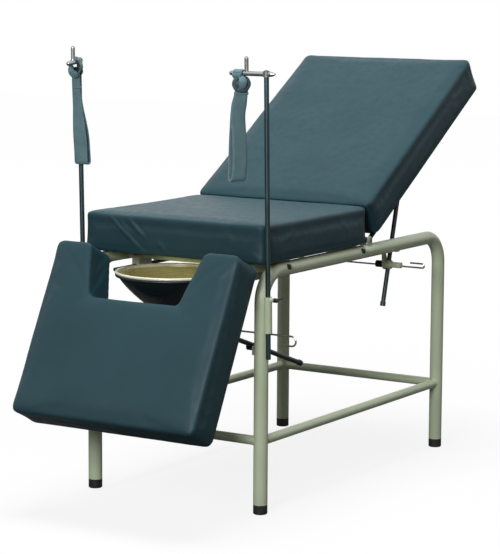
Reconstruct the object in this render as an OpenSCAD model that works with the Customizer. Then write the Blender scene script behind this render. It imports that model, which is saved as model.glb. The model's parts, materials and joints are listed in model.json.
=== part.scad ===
// Obstetric delivery table with a lifting back section, a swinging leg section,
// strap poles and a sliding basin. Millimetres. X across, +Y towards the head end,
// Z up. The floor is z = 0 and the origin lies under the middle of the whole table.

/* [Frame] */
// Distance between the leg centrelines across the table
leg_span = 538; // [532:1:560]
// Distance between the front and rear leg centrelines
frame_length = 990; // [900:10:1100]
// Height of the top rail's centreline
rail_height = 640; // [620:2:680]
// Outside diameter of the side frame tube
tube_od = 38; // [34:0.5:39]
// Wall of the side frame tube
tube_wall = 1.6; // [1.2:0.1:2.5]
// Centreline radius of the bends of the side frame
bend_radius = 80; // [65:1:85]
// Outside diameter of the lower stretchers and the seat cross tubes
stretcher_od = 25; // [22:0.5:26]
// Wall of the stretchers and cross tubes
stretcher_wall = 1.5; // [1.2:0.1:2.5]
// Height of the lower stretchers' centreline
stretcher_height = 195; // [150:5:240]
// Front cross tube, measured from the front legs
front_cross_y = 105; // [102:1:112]
// Rear cross tube, measured from the front legs
rear_cross_y = 502; // [480:1:505]
// Height of a rubber foot below the end of its leg
foot_height = 25; // [18:1:32]

/* [Cushions] */
// How far the cushions stand out past the leg centrelines on each side
pad_side_overhang = 18.5; // [11:0.5:20]
// Thickness of a cushion with its board
pad_thickness = 104; // [95:1:106]
// Length of the seat cushion
seat_length = 547; // [530:1:549]
// How far the seat stands out in front of the front legs
seat_overhang = 21; // [19:0.5:22]
// Length of the back cushion
back_length = 728; // [600:1:760]
// Length of the leg cushion
leg_length = 483; // [420:1:500]
// Radius of the rounded edges of the upper face
edge_radius = 14; // [10:1:18]
// Radius of the upright corners
corner_radius = 18; // [12:1:24]
// Height of the crown in the middle of a cushion
crown = 6; // [2:0.5:8]
// How far a side pulls in between its corners
draw_in = 4; // [1:0.5:6]
// Thickness of the plywood board under a cushion
board_thickness = 12; // [9:1:15]

/* [Back section] */
// Angle of the back section above level as photographed
back_angle = 32; // [20:1:34]
// Hinge line of the back section, measured from the front legs
back_pivot_y = 552; // [551:0.5:556]
// Height of the back hinge line above the rail's centreline
back_pivot_rise = 31; // [30:0.5:33]
// From the hinge line to the cushion, along the section
back_gap = 33; // [32:0.5:38]
// From the hinge line down to the underside of the board
back_underside_drop = 5.4; // [5:0.1:5.8]

/* [Leg section] */
// Angle of the leg section below level as photographed
leg_angle = 63.5; // [50:0.5:68]
// Hinge line of the leg section in front of the front legs
leg_pivot_forward = 33; // [32:0.5:36]
// Height of the leg hinge line above the rail's centreline
leg_pivot_rise = 12; // [9:0.5:12.5]
// From the hinge line up to the underside of the board
leg_underside_rise = 12.5; // [12:0.5:14]
// Half width of the cut-out at its mouth
cut_mouth_half = 182; // [178:1:188]
// Half width of the cut-out at its bottom
cut_floor_half = 140; // [130:1:150]
// Depth of the cut-out
cut_depth = 148; // [146:1:156]

/* [Struts] */
// Diameter of the locking struts
strut_od = 13; // [11:0.5:13]
// Length of a back strut below its pin
back_strut_length = 352; // [330:1:380]
// Length of a leg strut below its pin
leg_strut_length = 376; // [366:1:390]
// How far the struts lie inside the leg centrelines
strut_inset = 33; // [33:0.5:35]
// Diameter of the spring wire of the release handles
wire_od = 5; // [4:0.5:6]
// How far a release handle reaches from the middle of the table
handle_reach = 345; // [335:1:350]

/* [Strap poles] */
// Diameter of the strap poles
pole_od = 13; // [12:0.5:13]
// Length of a strap pole
pole_length = 733; // [650:1:800]
// Forward lean of the poles
pole_lean = 1.5; // [0:0.5:2]
// Length of a pole socket
socket_length = 95; // [80:1:110]
// Wall of a pole socket
socket_wall = 4; // [3:0.5:5]
// Height of the middle of a socket
socket_height = 534; // [500:1:560]
// Angle around the leg at which a socket sits, towards the foot end
socket_turn = 24; // [20:1:30]
// How much higher the left pole is set than the right one
left_pole_raise = 17; // [0:1:30]
// How far the left cross bar is turned towards the foot end
left_bar_turn = 68; // [0:1:90]
// Place of the right strap along its bar, from the pole
right_strap_along = 79; // [78:1:92]
// Place of the left strap along its bar, from the pole
left_strap_along = 32; // [22:1:42]
// Width of the strap webbing
strap_width = 40; // [30:1:42]
// Length of the right strap below its bar
right_strap_drop = 278; // [220:1:285]
// Length of the left strap below its bar
left_strap_drop = 274; // [220:1:285]
// Half the opening between the two layers of the right strap
right_strap_gape = 11; // [5:0.5:12]
// Half the opening between the two layers of the left strap
left_strap_gape = 8; // [5:0.5:12]
// Turn of the right strap's loop away from the foot end
right_strap_turn = 58; // [0:1:90]

/* [Basin] */
// Radius of the basin over its rolled rim
basin_radius = 155; // [150:0.5:156]
// Depth of the basin below its rim
basin_depth = 94; // [85:1:95]
// Height of the rolled rim above the rail's underside
basin_rim_rise = 3; // [1:0.5:4]
// Middle of the basin in front of the front legs
basin_forward = 15; // [10:1:16]
// Distance of the runner rods from the middle of the table
runner_x = 185; // [182:0.5:188]

/* [Hidden] */
$fn = 48;

// Finishes
paint = [0.64, 0.68, 0.56];
rubber = [0.08, 0.08, 0.09];
vinyl = [0.27, 0.36, 0.39];
plywood = [0.74, 0.6, 0.42];
dark_steel = [0.2, 0.22, 0.24];
bright_steel = [0.76, 0.76, 0.74];
webbing_cloth = [0.38, 0.49, 0.5];
basin_steel = [0.55, 0.54, 0.36];

// Clearances, and the overrun of every cut
run_gap = 0.05;
weld_gap = 0.05;
seat_gap = 0.2;
bolt_gap = 0.1;
side_gap = 0.5;
waist = 0.02;
over = 1;

// Frame
tube_r = tube_od / 2;
tube_bore_r = tube_r - tube_wall;
side_x = leg_span / 2;
inner_x = side_x - tube_r;
stretcher_r = stretcher_od / 2;
stretcher_bore_r = stretcher_r - stretcher_wall;
cross_z = rail_height + tube_r - stretcher_r;
cross_plug = 24;
foot_plug_depth = 20;
foot_bevel = 2;
bolt_r = 4;
bolt_head_r = 7;
bolt_head_height = 5;
bolt_grip = 18;

// Cushions
pad_half = side_x + pad_side_overhang;
flat_bar = 4;
bar_width = 30;
seat_z = rail_height + tube_r + seat_gap + flat_bar;
board_inset = 12;
board_fit = 0.3;
lip_inset = 5;
lip_height = 5;
crown_reach = 66;
crown_shares = [0.33, 0.66, 1];
edge_angles = [0, 30, 60, 90];
arc_steps = 5;
edge_steps = 6;
least_corner = 3;
mouth_radius = 20;
floor_radius = 8;
seat_screw_r = 3;
seat_screw_head_r = 6;
seat_screw_head_height = 4;
seat_screw_x = 140;
screw_r = 2.5;
screw_head_r = 4.5;
screw_head_height = 2.5;
screw_bite = 8;

// Hinges of the back section
back_pivot = [back_pivot_y, rail_height + back_pivot_rise];
hinge_pin_r = 4;
hinge_head_r = 6.5;
hinge_head_height = 3;
knuckle_half = 7;
knuckle_r = 8;
ear_gap = 1;
ear_thickness = 4;
ear_r = 12;
ear_foot_half = 16;

// Flat bar frames under the boards
seat_bar_front = 42;
seat_bar_rear = 6;
back_bar_start = 8;
back_bar_end = 40;
leg_bar_start = 16;
leg_bar_end = 45;
leg_cross_bar = 40;
screw_shares = [0.12, 0.5, 0.88];

// Lugs for the upper ends of the struts
strut_x = side_x - strut_inset;
strut_r = strut_od / 2;
lug_thickness = 4;
lug_inner = strut_r + side_gap;
strut_pin_r = 3.5;
strut_pin_head_r = 7;
strut_pin_head = 2;
slot_half = 6;
slot_wall = 6;
back_lug_along = 281;
back_lug_drop = 17;
back_slot = [8, 11];
back_slot_angle = -43.5;
leg_lug_along = 180;
leg_lug_drop = 26.5;
leg_slot = [8.5, 12.8];
leg_slot_angle = -14;

// Hinges of the leg section
leg_pivot = [-leg_pivot_forward, rail_height + leg_pivot_rise];
arm_inset = 41;
arm_x = side_x - arm_inset;
arm_thickness = 6;
arm_height = 14;
arm_eye_r = 10;
arm_block_half = 18;
arm_below = 4;
leg_lug_thickness = 5;
leg_lug_length = 50;

// Clamps that lock the struts
back_clamp_along = 191;
back_clamp_drop = 62;
leg_clamp_along = 40;
leg_clamp_drop = 204;
back_clamp = [back_pivot_y + back_clamp_along, rail_height - back_clamp_drop];
leg_clamp = [leg_clamp_along, rail_height - leg_clamp_drop];
clamp_r = 13;
clamp_half = 9;
trunnion_r = 6;
trunnion_cap = 5;
hanger_thickness = 4;
hanger_r = 15;
hanger_flange = [18, 2];
hanger_bite = 1.5;
hanger_half = 12;
knob_r = 10;
knob_length = 25;
knob_grooves = 10;
knob_groove_r = 1.5;
boss_r = 8.5;
boss_length = 33;
wire_r = wire_od / 2;
wire_eye_r = 6;
back_wire_offset = 20;
leg_wire_offset = 38;
back_loop_r = 6;
leg_loop_r = 13;
back_loop_return = 48;
leg_loop_return = 48;
collar_r = 8;
collar_length = 12;

// Strap poles
pole_r = pole_od / 2;
socket_r = pole_r + socket_wall;
socket_standoff = 1;
socket_reach = tube_r + socket_r + socket_standoff;
pole_x = side_x + socket_reach * cos(socket_turn);
pole_y = -socket_reach * sin(socket_turn);
pole_drop = 117;
weld_rib = 5;
nut_r = 6;
nut_length = 8;
nut_drop = 7;
thumb_r = 3;
thumb_hub_r = 6;
thumb_hub_length = 8;
thumb_bar_r = 2;
thumb_bar_length = 36;
thumb_ball_r = 5;
bar_r = 6.5;
bar_outer = 26;
bar_taper = 10;
bar_tip_r = 3;
bar_inner = 112;
hub_r = 9.5;
hub_height = 15;
spigot_r = 4;
rivet_r = 7;
rivet_height = 2.5;
peg_along = 60;
peg_height = 44;
peg_r = 5.5;
eye_half = 12;
webbing = 3;
strap_gap = 0.3;
gather_start = 14;
gather_end = 32;
neck_drop = 38;
neck_end = 46;
spread_end = 72;
neck_half = 9;
loop_steps = 12;
keeper_wall = 2.5;
keeper_height = 10;

// Basin
basin_rim_z = rail_height - tube_r + basin_rim_rise;
basin_bead = 4;
basin_wall = 1.2;
basin_floor_share = 0.4;
basin_bulge = 1.4;
basin_steps = 14;
basin_faces = 96;
ring_wire_r = 3;
ring_r = basin_radius - basin_bead;
ring_z = basin_rim_z - basin_bead - ring_wire_r - seat_gap;
runner_r = 5;
runner_length = 320;
runner_lead = 8;
runner_stop_r = 8;
runner_stop = 8;
ear_rod_r = ring_wire_r;
guide_half = 12;
guide_half_length = 30;
guide_drop = 11;

// Side views are drawn as [along Y, up Z]
function turned(v, a) = [v[0] * cos(a) - v[1] * sin(a), v[0] * sin(a) + v[1] * cos(a)];
function unit(v) = v / norm(v);
function left_of(v) = [-v[1], v[0]];
function heading(from, to) = atan2(to[1] - from[1], to[0] - from[0]);

// Lug pins, clamps and release wires as [y, z] in the table's frame
back_lug = back_pivot
    + turned([back_lug_along, -back_underside_drop - back_lug_drop], back_angle);
leg_lug = leg_pivot
    + turned([-leg_lug_along, leg_underside_rise - leg_lug_drop], leg_angle);
back_wire = back_clamp - back_wire_offset * left_of(unit(back_lug - back_clamp));
leg_wire = leg_clamp - leg_wire_offset * left_of(unit(leg_lug - leg_clamp));

// The origin lies half way between the two ends of the photographed table
head_end_y = back_pivot[0] + max(
    (back_gap + back_length) * cos(back_angle)
        + (back_underside_drop - lip_height) * sin(back_angle),
    (back_gap + back_length - lip_inset) * cos(back_angle)
        + back_underside_drop * sin(back_angle));
foot_end_y = leg_pivot[0] - (leg_length - edge_radius) * cos(leg_angle)
    - (leg_underside_rise + pad_thickness - edge_radius) * sin(leg_angle) - edge_radius;
middle_y = (head_end_y + foot_end_y) / 2;

// Placing
module on_side(s) {
    if (s > 0) children();
    else mirror([1, 0, 0]) children();
}

module placed() {
    translate([0, -middle_y, 0]) children();
}

module back_place() {
    translate([0, back_pivot[0], back_pivot[1]]) rotate([back_angle, 0, 0]) children();
}

module leg_place() {
    translate([0, leg_pivot[0], leg_pivot[1]]) rotate([leg_angle, 0, 0]) children();
}

module pole_place(s) {
    on_side(s) translate([pole_x, pole_y, socket_height]) rotate([pole_lean, 0, 0]) children();
}

// Draws a side view and gives it its thickness from x0 to x1
module across(x0, x1) {
    translate([x0, 0, 0]) rotate([90, 0, 90]) linear_extrude(x1 - x0) children();
}

// Basic forms
module rod_x(x0, x1, r) {
    translate([x0, 0, 0]) rotate([0, 90, 0]) cylinder(h = x1 - x0, r = r);
}

module rod_y(y0, y1, r) {
    translate([0, y0, 0]) rotate([-90, 0, 0]) cylinder(h = y1 - y0, r = r);
}

module dome(r, height) {
    ball_r = (r * r + height * height) / (2 * height);
    intersection() {
        cylinder(h = height, r = r);
        translate([0, 0, height - ball_r]) sphere(r = ball_r, $fn = 64);
    }
}

// A bar with round ends between two points of a side view. It is a hair narrower
// than its ends, so its sides cross their arcs instead of only touching them.
module link(a, b, r) {
    translate(a) circle(r = r);
    translate(b) circle(r = r);
    translate(a) rotate(heading(a, b)) translate([0, waist - r])
        square([norm(b - a), 2 * (r - waist)]);
}

// Side frames and stretchers
module side_path(r, leg_from) {
    for (y = [0, frame_length])
        translate([0, y, leg_from]) cylinder(h = rail_height - bend_radius - leg_from, r = r);
    translate([0, 0, rail_height]) rod_y(bend_radius, frame_length - bend_radius, r);
    for (front = [true, false])
        translate([0, front ? bend_radius : frame_length - bend_radius, rail_height - bend_radius])
            rotate([90, 0, 90]) rotate(front ? 90 : 0)
                rotate_extrude(angle = 90) translate([bend_radius, 0]) circle(r = r);
}

module rail_envelope() {
    for (x = [-side_x, side_x])
        translate([x, 0, rail_height]) rod_y(0, frame_length, tube_r + weld_gap);
}

module leg_envelope(x, y) {
    translate([x, y, foot_height]) cylinder(h = rail_height - bend_radius - foot_height,
        r = tube_r + weld_gap);
}

module side_frame(s) {
    color(paint) on_side(s) difference() {
        translate([side_x, 0, 0]) side_path(tube_r, foot_height);
        translate([side_x, 0, 0]) side_path(tube_bore_r, foot_height - over);
        for (y = [front_cross_y, rear_cross_y])
            translate([0, y, cross_z])
                rod_x(inner_x - over, side_x + tube_r + over, bolt_r + bolt_gap);
    }
}

module side_stretchers() {
    color(paint) for (x = [-side_x, side_x]) difference() {
        translate([x, 0, stretcher_height]) difference() {
            rod_y(0, frame_length, stretcher_r);
            rod_y(-over, frame_length + over, stretcher_bore_r);
        }
        for (y = [0, frame_length]) leg_envelope(x, y);
    }
}

module cross_stretchers() {
    color(paint) for (y = [0, frame_length]) difference() {
        translate([0, y, stretcher_height]) difference() {
            rod_x(-side_x, side_x, stretcher_r);
            rod_x(-side_x - over, side_x + over, stretcher_bore_r);
        }
        for (x = [-side_x, side_x]) leg_envelope(x, y);
    }
}

module cross_tube(y) {
    color(paint) difference() {
        translate([0, y, cross_z]) difference() {
            rod_x(-side_x, side_x, stretcher_r);
            rod_x(-inner_x + cross_plug, inner_x - cross_plug, stretcher_bore_r);
            rod_x(-side_x, side_x, bolt_r + bolt_gap);
        }
        rail_envelope();
        for (x = [-seat_screw_x, seat_screw_x])
            translate([x, y, cross_z - stretcher_r - over])
                cylinder(h = 2 * (stretcher_r + over), r = seat_screw_r + run_gap);
    }
}

module rail_bolts() {
    color(dark_steel) for (s = [1, -1]) for (y = [front_cross_y, rear_cross_y]) on_side(s) {
        translate([0, y, cross_z])
            rod_x(inner_x - bolt_grip, side_x + tube_r, bolt_r);
        difference() {
            translate([side_x + tube_bore_r - bolt_head_height, y, cross_z])
                rotate([0, 90, 0]) cylinder(h = 2 * bolt_head_height, r = bolt_head_r);
            rail_envelope();
        }
        translate([side_x + tube_bore_r + bolt_head_height, y, cross_z])
            rotate([0, 90, 0]) dome(bolt_head_r, bolt_head_height / 2);
    }
}

module foot(s, y) {
    color(rubber) translate([s * side_x, y, 0]) {
        cylinder(h = foot_bevel, r1 = tube_r - foot_bevel, r2 = tube_r);
        translate([0, 0, foot_bevel]) cylinder(h = foot_height - foot_bevel, r = tube_r);
        translate([0, 0, foot_height])
            cylinder(h = foot_plug_depth, r = tube_bore_r - run_gap);
    }
}

// Cushion outlines, anticlockwise, drawn as [across X, along the section]
function plain_outline(length) = [
    [-pad_half, 0], [pad_half, 0], [pad_half, length], [-pad_half, length]
];
plain_corners = [corner_radius, corner_radius, corner_radius, corner_radius];
plain_pull_shares = [0.7, 1, 0.7, 1];
leg_outline = [
    [-pad_half, -leg_length], [pad_half, -leg_length], [pad_half, 0], [cut_mouth_half, 0],
    [cut_floor_half, -cut_depth], [-cut_floor_half, -cut_depth], [-cut_mouth_half, 0],
    [-pad_half, 0]
];
leg_corners = [
    corner_radius, corner_radius, corner_radius, mouth_radius,
    floor_radius, floor_radius, mouth_radius, corner_radius
];
leg_pull_shares = [0.7, 1, 0.3, 0.3, 0.4, 0.3, 0.3, 1];

// One corner of an outline that is set in by inset, as an arc
function corner_arc(outline, radii, i, inset) =
    let (n = len(outline))
    let (before = unit(outline[i] - outline[(i + n - 1) % n]))
    let (after = unit(outline[(i + 1) % n] - outline[i]))
    let (turn = atan2(cross(before, after), before * after))
    let (r = max(radii[i] - sign(turn) * inset, least_corner))
    let (mitre = (left_of(before) + left_of(after)) / (1 + before * after))
    let (start = outline[i] + inset * mitre - before * r * tan(abs(turn) / 2))
    let (spoke = -sign(turn) * r * left_of(before))
    [for (k = [0 : arc_steps]) start - spoke + turned(spoke, turn * k / arc_steps)];

// A whole outline, set in by inset, whose straight sides bow inwards by pull
function ring(outline, radii, shares, inset, pull) =
    let (n = len(outline))
    let (arcs = [for (i = [0 : n - 1]) corner_arc(outline, radii, i, inset)])
    [for (i = [0 : n - 1]) each concat(
        arcs[i],
        let (a = arcs[i][arc_steps], b = arcs[(i + 1) % n][0])
        [for (k = [1 : edge_steps - 1])
            a + (b - a) * k / edge_steps
                + pull * shares[i] * sin(180 * k / edge_steps) * left_of(unit(b - a))]
    )];

// Levels of a cushion as [inset, height, pull], from the recess for its board upwards
cushion_levels = concat(
    [
        [board_inset, board_thickness, 0],
        [board_inset, 0, 0],
        [lip_inset, 0, 0],
        [0, lip_height, draw_in * 0.4],
        [0, pad_thickness * 0.5, draw_in]
    ],
    [for (a = edge_angles) [
        edge_radius * (1 - cos(a)),
        pad_thickness - edge_radius * (1 - sin(a)),
        draw_in * cos(a) * 0.7
    ]],
    [for (share = crown_shares) [
        edge_radius + crown_reach * share,
        pad_thickness + crown * sin(90 * share),
        0
    ]]
);

module cushion(outline, radii, shares) {
    rings = [for (level = cushion_levels)
        [for (p = ring(outline, radii, shares, level[0], level[2])) [p[0], p[1], level[1]]]];
    n = len(rings[0]);
    top = len(rings) - 1;
    sides = [for (j = [0 : top - 1]) for (i = [0 : n - 1])
        let (a = j * n + i, b = j * n + (i + 1) % n)
        each [[a, a + n, b + n], [a, b + n, b]]];
    caps = [[for (i = [0 : n - 1]) i], [for (i = [n - 1 : -1 : 0]) top * n + i]];
    polyhedron(points = [for (r = rings) each r], faces = concat(caps, sides));
}

module board(outline, radii, shares) {
    linear_extrude(board_thickness)
        polygon(ring(outline, radii, shares, board_inset + board_fit, 0));
}

// Seat
module seat_pad() {
    color(vinyl) translate([0, -seat_overhang, seat_z])
        cushion(plain_outline(seat_length), plain_corners, plain_pull_shares);
}

module seat_frame() {
    low = -seat_overhang + seat_bar_front;
    high = -seat_overhang + seat_length - seat_bar_rear;
    color(dark_steel) translate([0, 0, seat_z - flat_bar]) difference() {
        linear_extrude(flat_bar) {
            for (x = [-seat_screw_x, seat_screw_x])
                translate([x - bar_width / 2, low]) square([bar_width, high - low]);
            for (y = [low, high - bar_width])
                translate([-strut_x, y]) square([2 * strut_x, bar_width]);
        }
        seat_screw_places() translate([0, 0, -over])
            cylinder(h = flat_bar + 2 * over, r = seat_screw_r + run_gap);
    }
}

module seat_board() {
    color(plywood) difference() {
        translate([0, -seat_overhang, seat_z])
            board(plain_outline(seat_length), plain_corners, plain_pull_shares);
        seat_screw_places() translate([0, 0, seat_z - over])
            cylinder(h = screw_bite + 2 * over, r = seat_screw_r + run_gap);
    }
}

module seat_screw_places() {
    for (x = [-seat_screw_x, seat_screw_x]) for (y = [front_cross_y, rear_cross_y])
        translate([x, y, 0]) children();
}

module seat_screws() {
    color(bright_steel) seat_screw_places() {
        head_z = cross_z - stretcher_r - run_gap;
        translate([0, 0, head_z - over])
            cylinder(h = seat_z + screw_bite - head_z + over, r = seat_screw_r);
        translate([0, 0, head_z]) mirror([0, 0, 1]) dome(seat_screw_head_r, seat_screw_head_height);
    }
}

// Screws that hold a board on its bar frame, in the section's own frame
module board_screw_places(from_y, to_y) {
    for (x = [-strut_x, strut_x]) for (share = screw_shares)
        translate([x, from_y + (to_y - from_y) * share, 0]) children();
}

module board_screws(underside) {
    translate([0, 0, underside - flat_bar - run_gap]) mirror([0, 0, 1])
        dome(screw_head_r, screw_head_height);
    translate([0, 0, underside - flat_bar - screw_head_height / 2])
        cylinder(h = flat_bar + screw_head_height / 2 + screw_bite, r = screw_r);
}

// A lug for a strut's pin: two cheeks under a bar, with slots
module strut_lug(along, bar_z, drop, slot, angle) {
    a = [along, bar_z - drop + flat_bar] - slot[0] * turned([1, 0], angle);
    b = [along, bar_z - drop + flat_bar] + slot[1] * turned([1, 0], angle);
    cheek_r = slot_half + slot_wall;
    for (side = [-1, 1]) {
        x = strut_x + side * (lug_inner + lug_thickness / 2);
        across(x - lug_thickness / 2, x + lug_thickness / 2) difference() {
            union() {
                link(a, b, cheek_r);
                polygon([a, b, [b[0] + cheek_r + slot_wall, bar_z],
                    [a[0] - cheek_r - slot_wall, bar_z]]);
            }
            link(a, b, slot_half);
            translate([a[0] - 2 * cheek_r, bar_z]) square([b[0] - a[0] + 4 * cheek_r, cheek_r]);
        }
    }
}

// Back section
module back_frame() {
    z = -back_underside_drop;
    first = back_gap + back_bar_start;
    last = back_gap + back_length - back_bar_end;
    leaf_out = side_x + knuckle_half;
    color(dark_steel) back_place() difference() {
        union() {
            translate([0, 0, z - flat_bar]) linear_extrude(flat_bar) {
                for (x = [-strut_x, strut_x])
                    translate([x - bar_width / 2, first]) square([bar_width, last - first]);
                translate([-leaf_out, first]) square([2 * leaf_out, bar_width]);
                translate([-strut_x, last - bar_width]) square([2 * strut_x, bar_width]);
                translate([-strut_x, back_lug_along + bar_width])
                    square([2 * strut_x, bar_width]);
                for (x = [-side_x, side_x])
                    translate([x - knuckle_half, 0]) square([2 * knuckle_half, first + over]);
            }
            for (x = [-side_x, side_x]) translate([x, 0, 0])
                rod_x(-knuckle_half, knuckle_half, knuckle_r);
            for (s = [1, -1]) on_side(s)
                strut_lug(back_lug_along, z - flat_bar, back_lug_drop, back_slot,
                    back_slot_angle);
        }
        for (x = [-side_x, side_x]) translate([x, 0, 0])
            rod_x(-knuckle_half - over, knuckle_half + over, hinge_pin_r + run_gap);
        board_screw_places(first, last) translate([0, 0, z - flat_bar - over])
            cylinder(h = flat_bar + 2 * over, r = screw_r + run_gap);
    }
}

module back_board() {
    first = back_gap + back_bar_start;
    last = back_gap + back_length - back_bar_end;
    color(plywood) back_place() difference() {
        translate([0, back_gap, -back_underside_drop])
            board(plain_outline(back_length), plain_corners, plain_pull_shares);
        board_screw_places(first, last) translate([0, 0, -back_underside_drop - over])
            cylinder(h = screw_bite + 2 * over, r = screw_r + run_gap);
    }
}

module back_pad() {
    color(vinyl) back_place() translate([0, back_gap, -back_underside_drop])
        cushion(plain_outline(back_length), plain_corners, plain_pull_shares);
}

module back_screws() {
    first = back_gap + back_bar_start;
    last = back_gap + back_length - back_bar_end;
    color(bright_steel) back_place() board_screw_places(first, last)
        board_screws(-back_underside_drop);
}

module back_hinge_ears() {
    color(paint) for (s = [1, -1]) on_side(s) for (side = [-1, 1]) {
        x = side_x + side * (knuckle_half + ear_gap + ear_thickness / 2);
        difference() {
            across(x - ear_thickness / 2, x + ear_thickness / 2) difference() {
                union() {
                    translate(back_pivot) circle(r = ear_r);
                    polygon([
                        [back_pivot[0] - ear_foot_half, rail_height],
                        [back_pivot[0] + ear_foot_half, rail_height],
                        back_pivot + [ear_r, 0],
                        back_pivot - [ear_r, 0]
                    ]);
                }
                translate(back_pivot) circle(r = hinge_pin_r + run_gap);
            }
            rail_envelope();
        }
    }
}

// A pin with two heads, centred on x and reaching half to each side
module headed_pin(half, r, head_r, head) {
    rod_x(-half - head, half + head, r);
    for (s = [1, -1]) on_side(s) rod_x(half + run_gap, half + head, head_r);
}

module back_hinge_pins() {
    half = knuckle_half + ear_gap + ear_thickness;
    color(bright_steel) for (x = [-side_x, side_x])
        translate([x, back_pivot[0], back_pivot[1]])
            headed_pin(half, hinge_pin_r, hinge_head_r, hinge_head_height);
}

// Leg section
module leg_frame() {
    z = leg_underside_rise;
    first = -leg_bar_start;
    last = -leg_length + leg_bar_end;
    lug_x = arm_x + arm_thickness / 2 + ear_gap;
    color(dark_steel) leg_place() difference() {
        union() {
            translate([0, 0, z - flat_bar]) linear_extrude(flat_bar) {
                for (x = [-strut_x, strut_x])
                    translate([x - bar_width / 2, last]) square([bar_width, first - last]);
                translate([-strut_x, last]) square([2 * strut_x, bar_width]);
                translate([-strut_x, -cut_depth - leg_cross_bar - bar_width])
                    square([2 * strut_x, bar_width]);
            }
            for (s = [1, -1]) on_side(s) {
                across(lug_x, lug_x + leg_lug_thickness) {
                    circle(r = arm_eye_r);
                    translate([-leg_lug_length, 0]) square([leg_lug_length, z - flat_bar]);
                }
                strut_lug(-leg_lug_along, z - flat_bar, leg_lug_drop, leg_slot, leg_slot_angle);
            }
        }
        for (s = [1, -1]) on_side(s)
            rod_x(lug_x - over, lug_x + leg_lug_thickness + over, hinge_pin_r + run_gap);
        board_screw_places(first, last) translate([0, 0, z - flat_bar - over])
            cylinder(h = flat_bar + 2 * over, r = screw_r + run_gap);
    }
}

module leg_board() {
    color(plywood) leg_place() difference() {
        translate([0, 0, leg_underside_rise])
            board(leg_outline, leg_corners, leg_pull_shares);
        board_screw_places(-leg_bar_start, -leg_length + leg_bar_end)
            translate([0, 0, leg_underside_rise - over])
                cylinder(h = screw_bite + 2 * over, r = screw_r + run_gap);
    }
}

module leg_pad() {
    color(vinyl) leg_place() translate([0, 0, leg_underside_rise])
        cushion(leg_outline, leg_corners, leg_pull_shares);
}

module leg_screws() {
    color(bright_steel) leg_place()
        board_screw_places(-leg_bar_start, -leg_length + leg_bar_end)
            board_screws(leg_underside_rise);
}

module leg_hinge_arms() {
    seat_line = rail_height + tube_r - side_gap;
    color(paint) for (s = [1, -1]) on_side(s)
        across(arm_x - arm_thickness / 2, arm_x + arm_thickness / 2) difference() {
            union() {
                translate(leg_pivot) circle(r = arm_eye_r);
                polygon([
                    leg_pivot - [0, arm_eye_r],
                    [front_cross_y - arm_block_half, seat_line - 2 * arm_height],
                    [front_cross_y - arm_block_half, cross_z - stretcher_r - arm_below],
                    [front_cross_y + arm_block_half, cross_z - stretcher_r - arm_below],
                    [front_cross_y + arm_block_half, seat_line],
                    [leg_pivot[0] + arm_eye_r, seat_line],
                    leg_pivot + [0, arm_eye_r / 2]
                ]);
            }
            translate(leg_pivot) circle(r = hinge_pin_r + run_gap);
            translate([front_cross_y, cross_z]) circle(r = stretcher_r + weld_gap);
        }
}

module leg_hinge_pins() {
    from_x = arm_x - arm_thickness / 2;
    to_x = arm_x + arm_thickness / 2 + ear_gap + leg_lug_thickness;
    half = (to_x - from_x) / 2;
    color(bright_steel) for (s = [1, -1]) on_side(s)
        translate([from_x + half, leg_pivot[0], leg_pivot[1]])
            headed_pin(half, hinge_pin_r, hinge_head_r, hinge_head_height);
}

// Hangers: the back ones hang from a rail, the leg ones stand on a leg
module back_hanger(s) {
    plate_x = strut_x - clamp_half - side_gap - hanger_thickness;
    top = rail_height - tube_r + hanger_bite;
    color(paint) on_side(s) difference() {
        union() {
            across(plate_x, plate_x + hanger_thickness) {
                translate(back_clamp) circle(r = hanger_r);
                polygon([
                    back_clamp - [hanger_r, 0],
                    back_clamp + [hanger_r, 0],
                    [back_clamp[0] - hanger_flange[1], top],
                    [back_clamp[0] - hanger_flange[0], top]
                ]);
            }
            across(plate_x, side_x + hanger_thickness)
                translate([back_clamp[0] - hanger_flange[0], top - hanger_thickness])
                    square([hanger_flange[0] - hanger_flange[1], hanger_thickness]);
        }
        translate([0, back_clamp[0], back_clamp[1]])
            rod_x(plate_x - over, plate_x + hanger_thickness + over, trunnion_r + run_gap);
        rail_envelope();
    }
}

module leg_hanger(s) {
    plate_x = inner_x + hanger_bite - hanger_thickness;
    color(paint) on_side(s) difference() {
        across(plate_x, plate_x + hanger_thickness) difference() {
            union() {
                translate(leg_clamp) circle(r = hanger_r);
                translate([-hanger_half, leg_clamp[1] - hanger_half])
                    square([leg_clamp[0] + hanger_half, 2 * hanger_half]);
            }
            translate(leg_clamp) circle(r = trunnion_r + run_gap);
        }
        leg_envelope(side_x, 0);
    }
}

// The turning block that a strut slides through, with its wire eye
module clamp_block(clamp, lug, wire) {
    difference() {
        union() {
            across(strut_x - clamp_half, strut_x + clamp_half) {
                translate(clamp) circle(r = clamp_r);
                link(clamp, wire, wire_eye_r);
            }
            translate([0, clamp[0], clamp[1]]) children();
        }
        translate([strut_x, clamp[0], clamp[1]]) rotate([heading(clamp, lug) - 90, 0, 0])
            translate([0, 0, -clamp_r - over])
                cylinder(h = 2 * (clamp_r + over), r = strut_r + run_gap);
        translate([0, wire[0], wire[1]])
            rod_x(strut_x - clamp_half - over, strut_x + clamp_half + over, wire_r + run_gap);
    }
}

module back_clamp_block(s) {
    inner_end = strut_x - clamp_half - 2 * side_gap - hanger_thickness - knob_length / 2;
    color(paint) on_side(s) clamp_block(back_clamp, back_lug, back_wire) {
        rod_x(inner_end, strut_x - clamp_half, trunnion_r);
        rod_x(strut_x + clamp_half, strut_x + clamp_half + boss_length, boss_r);
    }
}

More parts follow.
